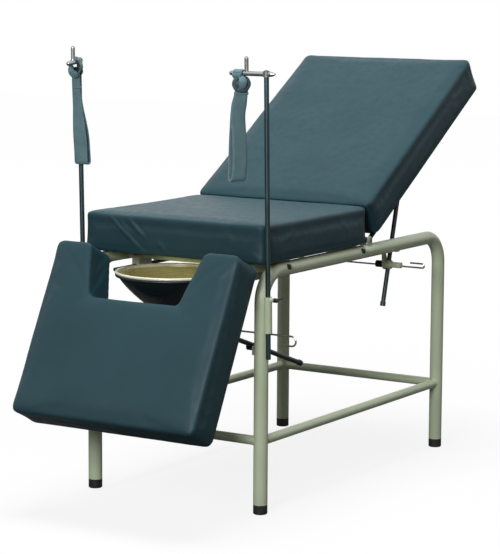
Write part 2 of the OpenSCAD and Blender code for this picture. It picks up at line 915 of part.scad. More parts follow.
module leg_clamp_block(s) {
    outer_end = inner_x + hanger_bite + side_gap;
    color(paint) on_side(s) clamp_block(leg_clamp, leg_lug, leg_wire) {
        rod_x(strut_x - clamp_half - knob_length / 2, strut_x - clamp_half, trunnion_r);
        rod_x(strut_x + clamp_half, outer_end + trunnion_cap, trunnion_r);
        rod_x(outer_end, outer_end + trunnion_cap, boss_r);
    }
}

module knob(clamp, to_x) {
    translate([to_x - knob_length, clamp[0], clamp[1]]) difference() {
        rod_x(0, knob_length, knob_r);
        rod_x(knob_length / 2 - over, knob_length + over, trunnion_r + run_gap);
        for (k = [0 : knob_grooves - 1]) rotate([360 * k / knob_grooves, 0, 0])
            translate([0, 0, knob_r]) rod_x(-over, knob_length - knob_groove_r, knob_groove_r);
    }
}

module back_knobs() {
    color(rubber) for (s = [1, -1]) on_side(s)
        knob(back_clamp, strut_x - clamp_half - 2 * side_gap - hanger_thickness);
}

module leg_knobs() {
    color(rubber) for (s = [1, -1]) on_side(s)
        knob(leg_clamp, strut_x - clamp_half - run_gap);
}

module strut(lug, clamp, length) {
    cheek_x = lug_inner + lug_thickness;
    color(dark_steel) translate([strut_x, lug[0], lug[1]])
        rotate([heading(lug, clamp) - 90, 0, 0]) {
            sphere(r = strut_r);
            cylinder(h = length, r = strut_r);
            translate([0, 0, length - collar_length]) cylinder(h = collar_length, r = collar_r);
            rod_x(-cheek_x - side_gap, cheek_x + side_gap, strut_pin_r);
            for (s = [1, -1]) on_side(s)
                rod_x(cheek_x + side_gap, cheek_x + side_gap + strut_pin_head, strut_pin_head_r);
        }
}

// One spring wire across the table, bent back at both ends into a pull loop
module release_wire(at, loop_r, back_length_x, up) {
    end_x = handle_reach - wire_r - loop_r;
    color(bright_steel) translate([0, at[0], at[1]]) {
        rod_x(-end_x, end_x, wire_r);
        for (s = [1, -1]) on_side(s) {
            translate([end_x, 0, up * loop_r]) rotate([90, 0, 0]) rotate(-90)
                rotate_extrude(angle = 180) translate([loop_r, 0]) circle(r = wire_r);
            translate([0, 0, 2 * up * loop_r]) rod_x(handle_reach - back_length_x, end_x, wire_r);
        }
    }
}

// Strap poles
module socket(s) {
    color(paint) difference() {
        pole_place(s) difference() {
            union() {
                translate([0, 0, -socket_length / 2]) cylinder(h = socket_length, r = socket_r);
                translate([0, 0, socket_length / 2 - nut_drop])
                    rod_x(0, socket_r + nut_length, nut_r);
                rotate(180 - socket_turn) translate([0, -weld_rib / 2, -socket_length / 2])
                    cube([socket_reach, weld_rib, socket_length]);
            }
            translate([0, 0, -socket_length / 2 - over])
                cylinder(h = socket_length + 2 * over, r = pole_r + run_gap);
            translate([0, 0, socket_length / 2 - nut_drop])
                rod_x(0, socket_r + nut_length + over, thumb_r + run_gap);
        }
        translate([s * side_x, 0, 0]) side_path(tube_r + weld_gap, foot_height);
    }
}

module socket_screw(s) {
    hub_x = socket_r + nut_length + side_gap;
    color(dark_steel) pole_place(s) translate([0, 0, socket_length / 2 - nut_drop]) {
        rod_x(pole_r + run_gap, hub_x, thumb_r);
        rod_x(hub_x, hub_x + thumb_hub_length, thumb_hub_r);
        translate([hub_x + thumb_hub_length, 0, 0]) sphere(r = thumb_ball_r);
        translate([hub_x + thumb_hub_length / 2, 0, 0]) {
            rod_y(0, thumb_bar_length, thumb_bar_r);
            translate([0, thumb_bar_length, 0]) sphere(r = thumb_bar_r);
        }
    }
}

// Set height of a pole: the left one stands higher
function pole_set(s) = s > 0 ? 0 : left_pole_raise;
function bar_turn(s) = s > 0 ? 0 : left_bar_turn;
function strap_along(s) = s > 0 ? right_strap_along : left_strap_along;

module pole(s) {
    top = pole_length - pole_drop + pole_set(s);
    color(dark_steel) pole_place(s) {
        translate([0, 0, pole_set(s) - pole_drop]) cylinder(h = pole_length, r = pole_r);
        translate([0, 0, top]) cylinder(h = hub_height + side_gap, r = spigot_r);
        translate([0, 0, top + hub_height + side_gap]) dome(rivet_r, rivet_height);
    }
}

module bar_place(s) {
    pole_place(s) translate([0, 0, pole_length - pole_drop + pole_set(s) + side_gap / 2])
        rotate(bar_turn(s)) children();
}

module cross_bar(s) {
    color(bright_steel) bar_place(s) difference() {
        union() {
            cylinder(h = hub_height, r = hub_r);
            translate([0, 0, hub_height / 2]) {
                rod_x(-bar_inner + bar_r, bar_outer - bar_taper, bar_r);
                translate([-bar_inner + bar_r, 0, 0]) sphere(r = bar_r);
                translate([bar_outer - bar_taper, 0, 0]) rotate([0, 90, 0])
                    cylinder(h = bar_taper, r1 = bar_r, r2 = bar_tip_r);
                translate([-peg_along, 0, 0]) {
                    cylinder(h = peg_height - peg_r, r = peg_r);
                    translate([0, 0, peg_height - peg_r]) sphere(r = peg_r);
                }
            }
        }
        translate([0, 0, -over]) cylinder(h = hub_height + 2 * over, r = spigot_r + run_gap);
    }
}

// Strap: an eye round the bar, gathered by a collar, and a long hanging loop
function loop_side(drop, gape, thickness) =
    let (low = -drop + gape + webbing)
    concat(
        [for (k = [1 : loop_steps]) let (t = k / loop_steps)
            [gape * sin(90 * t) + thickness, -neck_end + (low + neck_end) * t]],
        [for (k = [1 : loop_steps - 1]) let (a = 180 * k / loop_steps)
            [(gape + thickness) * cos(a), low - (gape + thickness) * sin(a)]],
        [for (k = [loop_steps : -1 : 1]) let (t = k / loop_steps)
            [-gape * sin(90 * t) - thickness, -neck_end + (low + neck_end) * t]]
    );

module strap_front(drop) {
    half = strap_width / 2;
    top = bar_r + strap_gap + webbing + over;
    rotate([90, 0, 0]) translate([0, 0, -strap_width]) linear_extrude(2 * strap_width) polygon([
        [-eye_half, top], [-eye_half, -gather_start], [-neck_half, -gather_end],
        [-neck_half, -neck_end], [-half, -spread_end], [-half, -drop - over],
        [half, -drop - over], [half, -spread_end], [neck_half, -neck_end],
        [neck_half, -gather_end], [eye_half, -gather_start], [eye_half, top]
    ]);
}

module strap_eye() {
    eye_r = bar_r + strap_gap;
    across(-strap_width / 2, strap_width / 2) difference() {
        union() {
            circle(r = eye_r + webbing);
            translate([-webbing, -neck_end]) square([2 * webbing, neck_end]);
        }
        circle(r = eye_r);
    }
}

module strap_loop(drop, gape) {
    across(-strap_width / 2, strap_width / 2) difference() {
        polygon(concat([[webbing, -gather_end], [webbing, -neck_end]],
            loop_side(drop, gape, webbing), [[-webbing, -neck_end], [-webbing, -gather_end]]));
        polygon(loop_side(drop, gape, 0));
    }
}

module strap_place(s) {
    bar_place(s) translate([-strap_along(s), 0, hub_height / 2]) children();
}

module strap(s, drop, gape, turn) {
    color(webbing_cloth) strap_place(s) {
        intersection() {
            strap_eye();
            strap_front(drop);
        }
        rotate(turn - bar_turn(s)) intersection() {
            strap_loop(drop, gape);
            strap_front(drop);
        }
    }
}

module strap_keeper(s) {
    inner = norm([neck_half, webbing]) + strap_gap;
    color(webbing_cloth) strap_place(s)
        translate([0, 0, -neck_drop - keeper_height / 2])
            rotate_extrude() translate([inner, 0]) {
                square([keeper_wall, keeper_height]);
                translate([keeper_wall, keeper_height / 2]) circle(r = keeper_wall / 2);
            }
}

// Basin and its sliding carrier
basin_top_r = basin_radius - 2 * basin_bead + 2 * basin_wall;
basin_floor_r = basin_radius * basin_floor_share;

function basin_curve(set_in) = [for (k = [0 : basin_steps]) let (t = k / basin_steps)
    [basin_floor_r + (basin_top_r - basin_floor_r) * (1 - pow(t, basin_bulge)) - set_in,
        -(basin_depth - set_in) * t]];

module basin() {
    inside = basin_curve(basin_wall);
    color(basin_steel) translate([0, -basin_forward, basin_rim_z])
        union() {
            rotate_extrude($fn = basin_faces) polygon(concat(
                basin_curve(0),
                [[0, -basin_depth], [0, -basin_depth + basin_wall]],
                [for (k = [basin_steps : -1 : 0]) inside[k]]
            ));
            rotate_extrude($fn = basin_faces)
                translate([basin_top_r + basin_bead - 2 * basin_wall, 0])
                    circle(r = basin_bead, $fn = 24);
        }
}

module basin_carrier() {
    rod_from = -runner_lead;
    color(dark_steel) translate([0, -basin_forward, ring_z]) {
        rotate_extrude($fn = basin_faces) translate([ring_r, 0]) circle(r = ring_wire_r, $fn = 24);
        for (s = [1, -1]) on_side(s) {
            rod_x(ring_r, runner_x, ear_rod_r);
            translate([runner_x, 0, 0]) {
                rod_y(rod_from, rod_from + runner_length, runner_r);
                rod_y(rod_from + runner_length - runner_stop, rod_from + runner_length,
                    runner_stop_r);
            }
        }
    }
}

module basin_guides() {
    color(rubber) for (s = [1, -1]) on_side(s) difference() {
        translate([runner_x - guide_half, front_cross_y - guide_half_length, ring_z - guide_drop])
            cube([2 * guide_half, 2 * guide_half_length, cross_z - ring_z + guide_drop]);
        translate([runner_x, front_cross_y, ring_z])
            rod_y(-guide_half_length - over, guide_half_length + over, runner_r + run_gap);
        translate([0, front_cross_y, cross_z])
            rod_x(-side_x, side_x, stretcher_r + weld_gap);
    }
}

placed() side_frame(1);  // side_frame_right
placed() side_frame(-1);  // side_frame_left
placed() side_stretchers();
placed() cross_stretchers();
placed() cross_tube(front_cross_y);  // front_cross_tube
placed() cross_tube(rear_cross_y);  // rear_cross_tube
placed() rail_bolts();
placed() foot(1, 0);  // foot_front_right
placed() foot(-1, 0);  // foot_front_left
placed() foot(1, frame_length);  // foot_rear_right
placed() foot(-1, frame_length);  // foot_rear_left
placed() seat_frame();
placed() seat_board();
placed() seat_pad();
placed() seat_screws();
placed() back_hinge_ears();
placed() back_hinge_pins();
placed() back_frame();
placed() back_board();
placed() back_pad();
placed() back_screws();
placed() leg_hinge_arms();
placed() leg_hinge_pins();
placed() leg_frame();
placed() leg_board();
placed() leg_pad();
placed() leg_screws();
placed() back_hanger(1);  // back_hanger_right
placed() back_hanger(-1);  // back_hanger_left
placed() back_clamp_block(1);  // back_clamp_right
placed() back_clamp_block(-1);  // back_clamp_left
placed() back_knobs();
placed() on_side(1) strut(back_lug, back_clamp, back_strut_length);  // back_strut_right
placed() on_side(-1) strut(back_lug, back_clamp, back_strut_length);  // back_strut_left
placed() release_wire(back_wire, back_loop_r, back_loop_return, 1);  // back_release_wire
placed() leg_hanger(1);  // leg_hanger_right
placed() leg_hanger(-1);  // leg_hanger_left
placed() leg_clamp_block(1);  // leg_clamp_right
placed() leg_clamp_block(-1);  // leg_clamp_left
placed() leg_knobs();
placed() on_side(1) strut(leg_lug, leg_clamp, leg_strut_length);  // leg_strut_right
placed() on_side(-1) strut(leg_lug, leg_clamp, leg_strut_length);  // leg_strut_left
placed() release_wire(leg_wire, leg_loop_r, leg_loop_return, -1);  // leg_release_wire
placed() socket(1);  // socket_right
placed() socket(-1);  // socket_left
placed() socket_screw(1);  // socket_screw_right
placed() socket_screw(-1);  // socket_screw_left
placed() pole(1);  // pole_right
placed() pole(-1);  // pole_left
placed() cross_bar(1);  // cross_bar_right
placed() cross_bar(-1);  // cross_bar_left
placed() strap(1, right_strap_drop, right_strap_gape, right_strap_turn);  // strap_right
placed() strap(-1, left_strap_drop, left_strap_gape, 0);  // strap_left
placed() strap_keeper(1);  // strap_keeper_right
placed() strap_keeper(-1);  // strap_keeper_left
placed() basin();
placed() basin_carrier();
placed() basin_guides();
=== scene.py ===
"""Looks of an obstetric delivery table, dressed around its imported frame.

All lengths are metres in the frame's own axes: X across the table, +Y towards the head
end, Z up. The cushions and the webbing loops replace their plain solids, and every other
node keeps its shape and gets its finish here.
"""

import json
import logging
import math
from collections.abc import Iterable, Sequence
from dataclasses import dataclass, field
from enum import Enum

import bmesh
import bpy
from mathutils import Matrix, Vector, noise

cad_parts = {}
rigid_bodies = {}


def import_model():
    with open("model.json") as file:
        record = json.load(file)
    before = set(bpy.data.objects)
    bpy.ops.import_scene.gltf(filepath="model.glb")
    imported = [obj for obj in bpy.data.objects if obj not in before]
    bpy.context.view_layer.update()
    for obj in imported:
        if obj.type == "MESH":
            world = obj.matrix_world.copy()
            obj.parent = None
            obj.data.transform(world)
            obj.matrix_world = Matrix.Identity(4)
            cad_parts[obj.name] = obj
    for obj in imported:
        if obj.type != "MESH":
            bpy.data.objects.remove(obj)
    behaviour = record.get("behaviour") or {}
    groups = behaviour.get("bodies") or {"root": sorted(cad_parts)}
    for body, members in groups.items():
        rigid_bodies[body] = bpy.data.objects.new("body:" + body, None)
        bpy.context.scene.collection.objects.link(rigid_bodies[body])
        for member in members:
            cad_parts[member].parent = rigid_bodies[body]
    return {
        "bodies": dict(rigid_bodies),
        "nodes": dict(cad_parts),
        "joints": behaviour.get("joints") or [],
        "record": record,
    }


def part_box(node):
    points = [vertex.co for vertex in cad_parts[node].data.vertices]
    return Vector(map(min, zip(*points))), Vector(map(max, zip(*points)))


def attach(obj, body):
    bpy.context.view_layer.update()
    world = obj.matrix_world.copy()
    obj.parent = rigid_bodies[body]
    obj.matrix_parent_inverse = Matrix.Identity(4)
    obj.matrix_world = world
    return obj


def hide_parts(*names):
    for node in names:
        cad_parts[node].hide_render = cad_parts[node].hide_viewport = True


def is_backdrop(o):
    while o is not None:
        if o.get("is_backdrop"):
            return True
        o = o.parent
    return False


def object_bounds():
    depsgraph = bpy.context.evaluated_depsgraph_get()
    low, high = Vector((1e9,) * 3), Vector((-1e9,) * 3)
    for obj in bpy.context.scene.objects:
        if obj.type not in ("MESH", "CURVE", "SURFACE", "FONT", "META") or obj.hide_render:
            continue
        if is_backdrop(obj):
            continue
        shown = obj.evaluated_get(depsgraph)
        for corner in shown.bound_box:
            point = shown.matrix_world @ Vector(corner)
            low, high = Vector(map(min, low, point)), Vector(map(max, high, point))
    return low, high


LOG = logging.getLogger("delivery_table")
LEG_RADIUS = 0.019
STRETCHER_RADIUS = 0.0125
UP = Vector((0, 0, 1))
# A mix node's two inputs and its output, by the kind of value that it mixes.
MIX_SOCKETS = {"FLOAT": (2, 3, 0), "RGBA": (6, 7, 2)}

Triple = tuple[float, float, float]
Colour = Triple
Span = tuple[float, float]
Socket = bpy.types.NodeSocket
Value = Socket | float | int | Sequence[float]


def srgb(code: str) -> Colour:
    """Turns a hex colour as seen on a screen into linear light.

    Args:
        code: Six hex digits, such as "44585f".

    Returns:
        The three linear channels.
    """
    channels = (int(code[k : k + 2], 16) / 255 for k in (0, 2, 4))
    return tuple(
        c / 12.92 if c <= 0.04045 else ((c + 0.055) / 1.055) ** 2.4 for c in channels
    )


class Tree:
    """A shader's node tree, with short ways to add and join its nodes."""

    def __init__(self, tree: bpy.types.NodeTree) -> None:
        """Keeps the tree that the nodes go in."""
        self.tree = tree

    def join(self, socket: Socket, value: Value) -> None:
        """Links a socket to another, or sets its value."""
        if isinstance(value, bpy.types.NodeSocket):
            self.tree.links.new(value, socket)
        elif isinstance(value, (int, float)):
            socket.default_value = value
        else:
            size = len(socket.default_value)
            socket.default_value = (*value, 1.0)[:size]

    def add(self, kind: str, **inputs: Value) -> bpy.types.Node:
        """Adds a node.

        Args:
            kind: Blender's name of the node type.
            **inputs: Values or sockets for inputs, by name, with _ for a space.

        Returns:
            The new node.
        """
        node = self.tree.nodes.new(kind)
        for name, value in inputs.items():
            self.join(node.inputs[name.replace("_", " ")], value)
        return node

    def spread(
        self, value: Socket, reach: Span = (0.0, 1.0), span: Span = (0.0, 1.0)
    ) -> Socket:
        """Maps a value linearly, and clamps it.

        Args:
            value: The socket to map.
            reach: What the start and the end of the span become.
            span: The values at its start and end.

        Returns:
            The mapped socket.
        """
        node = self.add(
            "ShaderNodeMapRange",
            Value=value,
            From_Min=span[0],
            From_Max=span[1],
            To_Min=reach[0],
            To_Max=reach[1],
        )
        return node.outputs["Result"]

    def compute(
        self, operation: str, *values: Value, kind: str = "ShaderNodeMath"
    ) -> Socket:
        """One arithmetic step that gives a number."""
        node = self.tree.nodes.new(kind)
        node.operation = operation
        for socket, value in zip(node.inputs, values):
            self.join(socket, value)
        return node.outputs["Value"]

    def mix(
        self, share: Value, first: Value, second: Value, kind: str = "RGBA"
    ) -> Socket:
        """Mixes two colours, or two numbers if the kind is "FLOAT"."""
        node = self.tree.nodes.new("ShaderNodeMix")
        node.data_type = kind
        low, high, out = MIX_SOCKETS[kind]
        self.join(node.inputs["Factor"], share)
        self.join(node.inputs[low], first)
        self.join(node.inputs[high], second)
        return node.outputs[out]


@dataclass(frozen=True)
class Grain:
    """A soft noise in a piece's own axes, and how it is read.

    Attributes:
        scale: Its features to the metre, along each axis if there are three.
        detail: How many finer layers it has.
        reach: What the start and the end of its span become.
        span: The part of the noise that counts.
    """

    scale: float | Triple
    detail: float
    reach: Span = (0.0, 1.0)
    span: Span = (0.0, 1.0)


class Graph(Tree):
    """The node tree of one principled material."""

    def __init__(self, name: str) -> None:
        """Makes an empty material of that name."""
        self.material = bpy.data.materials.new(name)
        self.material.use_nodes = True
        super().__init__(self.material.node_tree)
        self.shader = self.tree.nodes["Principled BSDF"]
        self.place = self.add("ShaderNodeTexCoord").outputs["Object"]

    def noise(self, grain: Grain) -> Socket:
        """The bare noise of a grain."""
        place, scale = self.place, grain.scale
        if isinstance(scale, tuple):
            stretched = self.add("ShaderNodeMapping", Vector=place, Scale=scale)
            place, scale = stretched.outputs["Vector"], 1.0
        node = self.add(
            "ShaderNodeTexNoise", Vector=place, Scale=scale, Detail=grain.detail
        )
        return node.outputs["Fac"]

    def read(self, grain: Grain) -> Socket:
        """The noise of a grain, mapped as the grain says."""
        return self.spread(self.noise(grain), grain.reach, grain.span)

    def cell_edges(self, scale: float) -> Socket:
        """The distance of a point to the nearest edge of a cell."""
        node = self.add("ShaderNodeTexVoronoi", Vector=self.place, Scale=scale)
        node.feature = "DISTANCE_TO_EDGE"
        return node.outputs["Distance"]

    def bump(
        self, height: Socket, depth: float, strength: float, under: Socket | None = None
    ) -> Socket:
        """Turns a height into a surface normal.

        Args:
            height: The height, from 0 to 1.
            depth: What a height of 1 stands for, in metres.
            strength: How strongly the bump shows.
            under: A normal that this one lies over.

        Returns:
            The normal.
        """
        node = self.add(
            "ShaderNodeBump", Height=height, Distance=depth, Strength=strength
        )
        if under is not None:
            self.join(node.inputs["Normal"], under)
        return node.outputs["Normal"]

    def set(self, **inputs: Value) -> None:
        """Sets or links the principled shader's own inputs."""
        for name, value in inputs.items():
            self.join(self.shader.inputs[name.replace("_", " ")], value)


@dataclass(frozen=True)
class Surface:
    """A plain surface: two blended colours, an uneven gloss and a fine relief.

    Attributes:
        stained: Its colour where it is worn, dusty or stained.
        stains: The grain that blends the two colours.
        gloss: The grain that gives the roughness.
        relief: The grain that the surface follows.
        depth: The relief's depth.
        inputs: The shader's other inputs.
        pores: The pores to the metre that lie over the relief, if there are any.
    """

    name: str
    colour: Colour
    stained: Colour
    stains: Grain
    gloss: Grain
    relief: Grain
    depth: float
    strength: float
    inputs: dict[str, float] = field(default_factory=dict)
    pores: float = 0.0
    pore_rim: float = 0.35
    pore_depth: float = 0.00012
    pore_strength: float = 0.5

    def material(self) -> bpy.types.Material:
        """Builds the surface's material."""
        graph = Graph(self.name)
        normal = graph.bump(graph.noise(self.relief), self.depth, self.strength)
        if self.pores:
            edges = graph.cell_edges(self.pores)
            pits = graph.spread(edges, span=(0.0, self.pore_rim))
            normal = graph.bump(pits, self.pore_depth, self.pore_strength, normal)
        graph.set(
            Base_Color=graph.mix(graph.read(self.stains), self.colour, self.stained),
            Roughness=graph.read(self.gloss),
            Normal=normal,
            **self.inputs,
        )
        return graph.material


def vinyl(name: str, colour: Colour, wear_and_shade: Colour) -> Surface:
    """Coated upholstery cloth with a fine leather grain and a soft gloss."""
    return Surface(
        name,
        colour,
        wear_and_shade,
        stains=Grain(5.0, 4.0, (0.0, 0.75), (0.35, 0.7)),
        gloss=Grain(60.0, 3.0, (0.37, 0.49), (0.3, 0.7)),
        relief=Grain(26.0, 5.0),
        depth=0.0012,
        strength=0.35,
        inputs={"Specular_IOR_Level": 0.28},
        pores=1250.0,
    )


def powder_coat(name: str, colour: Colour, dull: Colour) -> Surface:
    """Oven-baked paint on steel tube, with the faint orange peel it dries to."""
    return Surface(
        name,
        colour,
        dull,
        stains=Grain(9.0, 5.0, (0.0, 0.6), (0.4, 0.72)),
        gloss=Grain(140.0, 3.0, (0.30, 0.46), (0.3, 0.75)),
        relief=Grain(420.0, 1.0),
        depth=0.0002,
        strength=0.35,
        inputs={"Specular_IOR_Level": 0.5, "Coat_Weight": 0.15, "Coat_Roughness": 0.2},
    )


def steel(
    name: str, colour: str, stained: str, roughness: float, metallic: float = 1.0
) -> Surface:
    """Drawn or plated steel, with fine lines along the direction it was drawn in."""
    lines = (900.0, 900.0, 12.0)
    return Surface(
        name,
        srgb(colour),
        srgb(stained),
        stains=Grain(14.0, 5.0, (0.0, 0.7), (0.42, 0.75)),
        gloss=Grain(lines, 4.0, (roughness - 0.06, roughness + 0.08), (0.25, 0.75)),
        relief=Grain(lines, 4.0),
        depth=0.00008,
        strength=0.4,
        inputs={"Metallic": metallic},
    )


def moulded(name: str, colour: str, dusty: str, roughness: float = 0.55) -> Surface:
    """Moulded rubber or plastic with a dusty, slightly pitted skin."""
    dust = (0.45, 0.75)
    return Surface(
        name,
        srgb(colour),
        srgb(dusty),
        stains=Grain(45.0, 6.0, (0.0, 0.8), dust),
        gloss=Grain(45.0, 6.0, (roughness - 0.05, roughness + 0.15), dust),
        relief=Grain(700.0, 2.0),
        depth=0.00015,
        strength=0.4,
    )


@dataclass(frozen=True)
class Plywood:
    """Birch plywood: long grain on its faces and thin layers on its edges."""

    name: str = "birch_plywood"
    pale: Colour = (0.42, 0.28, 0.15)
    dark: Colour = (0.25, 0.15, 0.075)
    grain: Grain = Grain((90.0, 5.0, 90.0), 6.0)
    layers: Grain = Grain((14.0, 1.2, 700.0), 2.0)
    span: Span = (0.12, 0.45)
    roughness: Span = (0.6, 0.8)

    def material(self) -> bpy.types.Material:
        """Builds the board's material."""
        graph = Graph(self.name)
        grain = graph.noise(self.grain)
        both = graph.compute("MULTIPLY", grain, graph.noise(self.layers))
        share = graph.spread(both, span=self.span)
        graph.set(
            Base_Color=graph.mix(share, self.pale, self.dark),
            Roughness=graph.spread(grain, self.roughness),
            Normal=graph.bump(grain, depth=0.0004, strength=0.4),
        )
        return graph.material


@dataclass(frozen=True)
class BasinMetal:
    """A spun basin: warm inside, its outside darkened by a painted shade and reflection,
    and a painted highlight on its rolled rim.

    Attributes:
        rim_highlight_colour: The colour of the painted highlight on the rolled rim.
        bead: How deep the rolled rim is.
        under: How much a face that looks down counts as outside.
        border: Half the width of the change from inside to outside.
        spun: The fine rings that give the roughness.
    """

    name: str = "basin_metal"
    inside: Colour = (0.50, 0.46, 0.20)
    # Near black: painted shade and reflection on the basin's outer wall.
    outside_shade_and_reflection: Colour = (0.012, 0.018, 0.02)
    # A painted highlight on the rolled rim.
    rim_highlight_colour: Colour = (0.78, 0.75, 0.62)
    bead: float = 0.0095
    under: float = 0.05
    border: float = 0.004
    spun: Grain = Grain((30.0, 30.0, 900.0), 3.0)

    def material(self) -> bpy.types.Material:
        """Builds the basin's material."""
        graph = Graph(self.name)
        low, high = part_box("basin")
        middle = (low + high) / 2
        spoke = graph.add(
            "ShaderNodeMapping",
            Vector=graph.place,
            Location=(-middle.x, -middle.y, -self.under),
            Scale=(1.0, 1.0, 0.0),
        )
        facing = graph.add("ShaderNodeTexCoord").outputs["Normal"]
        outward = graph.compute(
            "DOT_PRODUCT", spoke.outputs["Vector"], facing, kind="ShaderNodeVectorMath"
        )
        # The outward-facing wall takes the near-black painted shade and reflection.
        out = graph.spread(outward, span=(-self.border, self.border))
        height = graph.add("ShaderNodeSeparateXYZ", Vector=graph.place).outputs["Z"]
        edge = high.z - self.bead
        # The top band of the rim takes a painted highlight.
        rim_highlight = graph.spread(height, span=(edge, edge + 0.001))
        wall = graph.mix(out, self.inside, self.outside_shade_and_reflection)
        spun = graph.noise(self.spun)
        graph.set(
            Base_Color=graph.mix(rim_highlight, wall, self.rim_highlight_colour),
            Roughness=graph.spread(spun, (0.2, 0.34), (0.25, 0.75)),
            Normal=graph.bump(spun, depth=0.00005, strength=0.3),
            Metallic=graph.spread(out, (0.35, 0.15)),
            Specular_IOR_Level=0.6,
        )
        return graph.material


@dataclass(frozen=True)
class Weave:
    """Flat woven webbing, with its ribs drawn along the band's own two directions.

    Attributes:
        shade: Their colour in the dips and where they are soiled.
        rib: The distance between two ribs across the band.
        pick: The distance between two threads along it.
        soil: The grain of the soiling.
        dip_height: How much the threads add to the ribs' height.
        dip_shade: How much the threads' dips darken.
    """

    name: str
    colour: Colour
    shade: Colour
    rib: float = 0.0016
    pick: float = 0.0011
    soil: Grain = Grain(38.0, 5.0, (0.0, 0.55), (0.35, 0.75))
    dip_height: float = 0.5
    dip_shade: float = 0.35

    def material(self) -> bpy.types.Material:
        """Builds the webbing's material."""
        graph = Graph(self.name)
        sheet = graph.add("ShaderNodeUVMap").outputs["UV"]
        parts = graph.add("ShaderNodeSeparateXYZ", Vector=sheet).outputs
        warp, weft = (
            graph.compute(
                "SINE", graph.compute("MULTIPLY", parts[axis], 2 * math.pi / wave)
            )
            for axis, wave in (("X", self.rib), ("Y", self.pick))
        )
        whole = (-1.0, 1.0)
        woven = graph.spread(graph.compute("MULTIPLY", warp, weft), span=whole)
        ribs = graph.spread(warp, span=whole)
        dips = graph.compute("MULTIPLY", woven, self.dip_height)
        height = graph.compute("ADD", dips, ribs)
        shaded = graph.compute("MULTIPLY", woven, self.dip_shade)
        thread = graph.compute("ADD", shaded, graph.read(self.soil))
        graph.set(
            Base_Color=graph.mix(thread, self.colour, self.shade),
            Roughness=graph.spread(woven, (0.6, 0.82)),
            Normal=graph.bump(height, depth=0.0003, strength=0.6),
            Sheen_Weight=0.35,
            Sheen_Roughness=0.35,
            Sheen_Tint=(0.8, 0.95, 1.0),
        )
        return graph.material


class Finish(Enum):
    """The finishes of the table, by the record's material slots."""

    COVER = "vinyl", vinyl("slate_vinyl", (0.012, 0.043, 0.055), (0.017, 0.053, 0.067))
    PAINT = (
        "frame_paint",
        powder_coat("sage_paint", (0.61, 0.695, 0.49), (0.51, 0.585, 0.40)),
    )
    RUBBER = "rubber", moulded("black_rubber", "141414", "26251f")
    BOARD = "board", Plywood()
    BAR = "dark_steel", steel("blackened_steel", "3a4143", "2a2e2f", 0.42, 0.75)
    PLATED = "steel", steel("plated_steel", "d9d8cf", "bdbcae", 0.24)
    POLE = "pole_steel", steel("pole_steel", "50666b", "3c4c50", 0.34)
    CROSS_BAR = "pole_steel", steel("cross_bar_steel", "b9bcbb", "8e9290", 0.26)
    WEBBING = (
        "webbing",
        Weave("teal_webbing", (0.146, 0.265, 0.290), (0.087, 0.162, 0.184)),
    )
    # A darker copy of the teal webbing: painted shade for the knot's strands.
    SHADED_WEBBING = (
        "webbing",
        Weave("knot_shade_webbing", (0.070, 0.120, 0.132), (0.045, 0.080, 0.090)),
    )
    BASIN = "basin_steel", BasinMetal()
    KNOB = "knob_plastic", moulded("knob_plastic", "161a1a", "262a2a", 0.4)
    GUIDE = "knob_plastic", moulded("pale_plastic", "a9aa98", "8f9080", 0.45)

    def __init__(self, slot: str, recipe: Surface | Plywood | BasinMetal | Weave) -> None:
        """Keeps the slot's name and the recipe, whose material is made once."""
        self.slot = slot
        self.recipe = recipe
        self._made: bpy.types.Material | None = None

    def material(self) -> bpy.types.Material:
        """The finish's material, made the first time that it is asked for."""
        if self._made is None:
            self._made = self.recipe.material()
        return self._made

    def dress(self, piece: bpy.types.Object) -> None:
        """Gives a piece this finish in all its slots."""
        if not piece.data.materials:
            piece.data.materials.append(self.material())
        for index in range(len(piece.data.materials)):
            piece.data.materials[index] = self.material()


def mesh_piece(
    name: str,
    points: Sequence[Sequence[float]],
    faces: Sequence[Sequence[int]],
    smooth: bool = True,
) -> bpy.types.Object:
    """Makes a mesh object and puts it in the scene.

    Args:
        name: The piece's name.
        points: The vertices.
        faces: The faces, as indices of the vertices.
        smooth: Whether the faces are shaded smooth.

    Returns:
        The new object.
    """
    mesh = bpy.data.meshes.new(name)
    mesh.from_pydata([tuple(p) for p in points], [], faces)
    mesh.validate()
    mesh.shade_smooth() if smooth else mesh.shade_flat()
    piece = bpy.data.objects.new(name, mesh)
    bpy.context.scene.collection.objects.link(piece)
    return piece


def tube_faces(rings: int, around: int, closed: bool = False) -> list[list[int]]:
    """The faces between rings of points that follow each other.

    Args:
        rings: How many rings there are.
        around: How many points each of them has.
        closed: Whether the last ring joins the first. If not, both ends get a lid.

    Returns:
        The faces, as indices of the points.
    """
    faces = [
        [
            k * around + j,
            k * around + (j + 1) % around,
            (k + 1) % rings * around + (j + 1) % around,
            (k + 1) % rings * around + j,
        ]
        for k in range(rings if closed else rings - 1)
        for j in range(around)
    ]
    if not closed:
        faces.append(list(range(around))[::-1])
        faces.append([(rings - 1) * around + j for j in range(around)])
    return faces


def apply_modifiers(piece: bpy.types.Object) -> None:
    """Bakes every modifier of a piece into its mesh."""
    graph = bpy.context.evaluated_depsgraph_get()
    baked = bpy.data.meshes.new_from_object(piece.evaluated_get(graph))
    piece.modifiers.clear()
    old = piece.data
    piece.data = baked
    bpy.data.meshes.remove(old)


def outward_faces(piece: bpy.types.Object) -> None:
    """Turns every face of a closed mesh to face outwards."""
    work = bmesh.new()
    work.from_mesh(piece.data)
    bmesh.ops.recalc_face_normals(work, faces=work.faces)
    work.to_mesh(piece.data)
    work.free()


def clamp(value: float) -> float:
    """Keeps a number between 0 and 1."""
    return min(max(value, 0.0), 1.0)


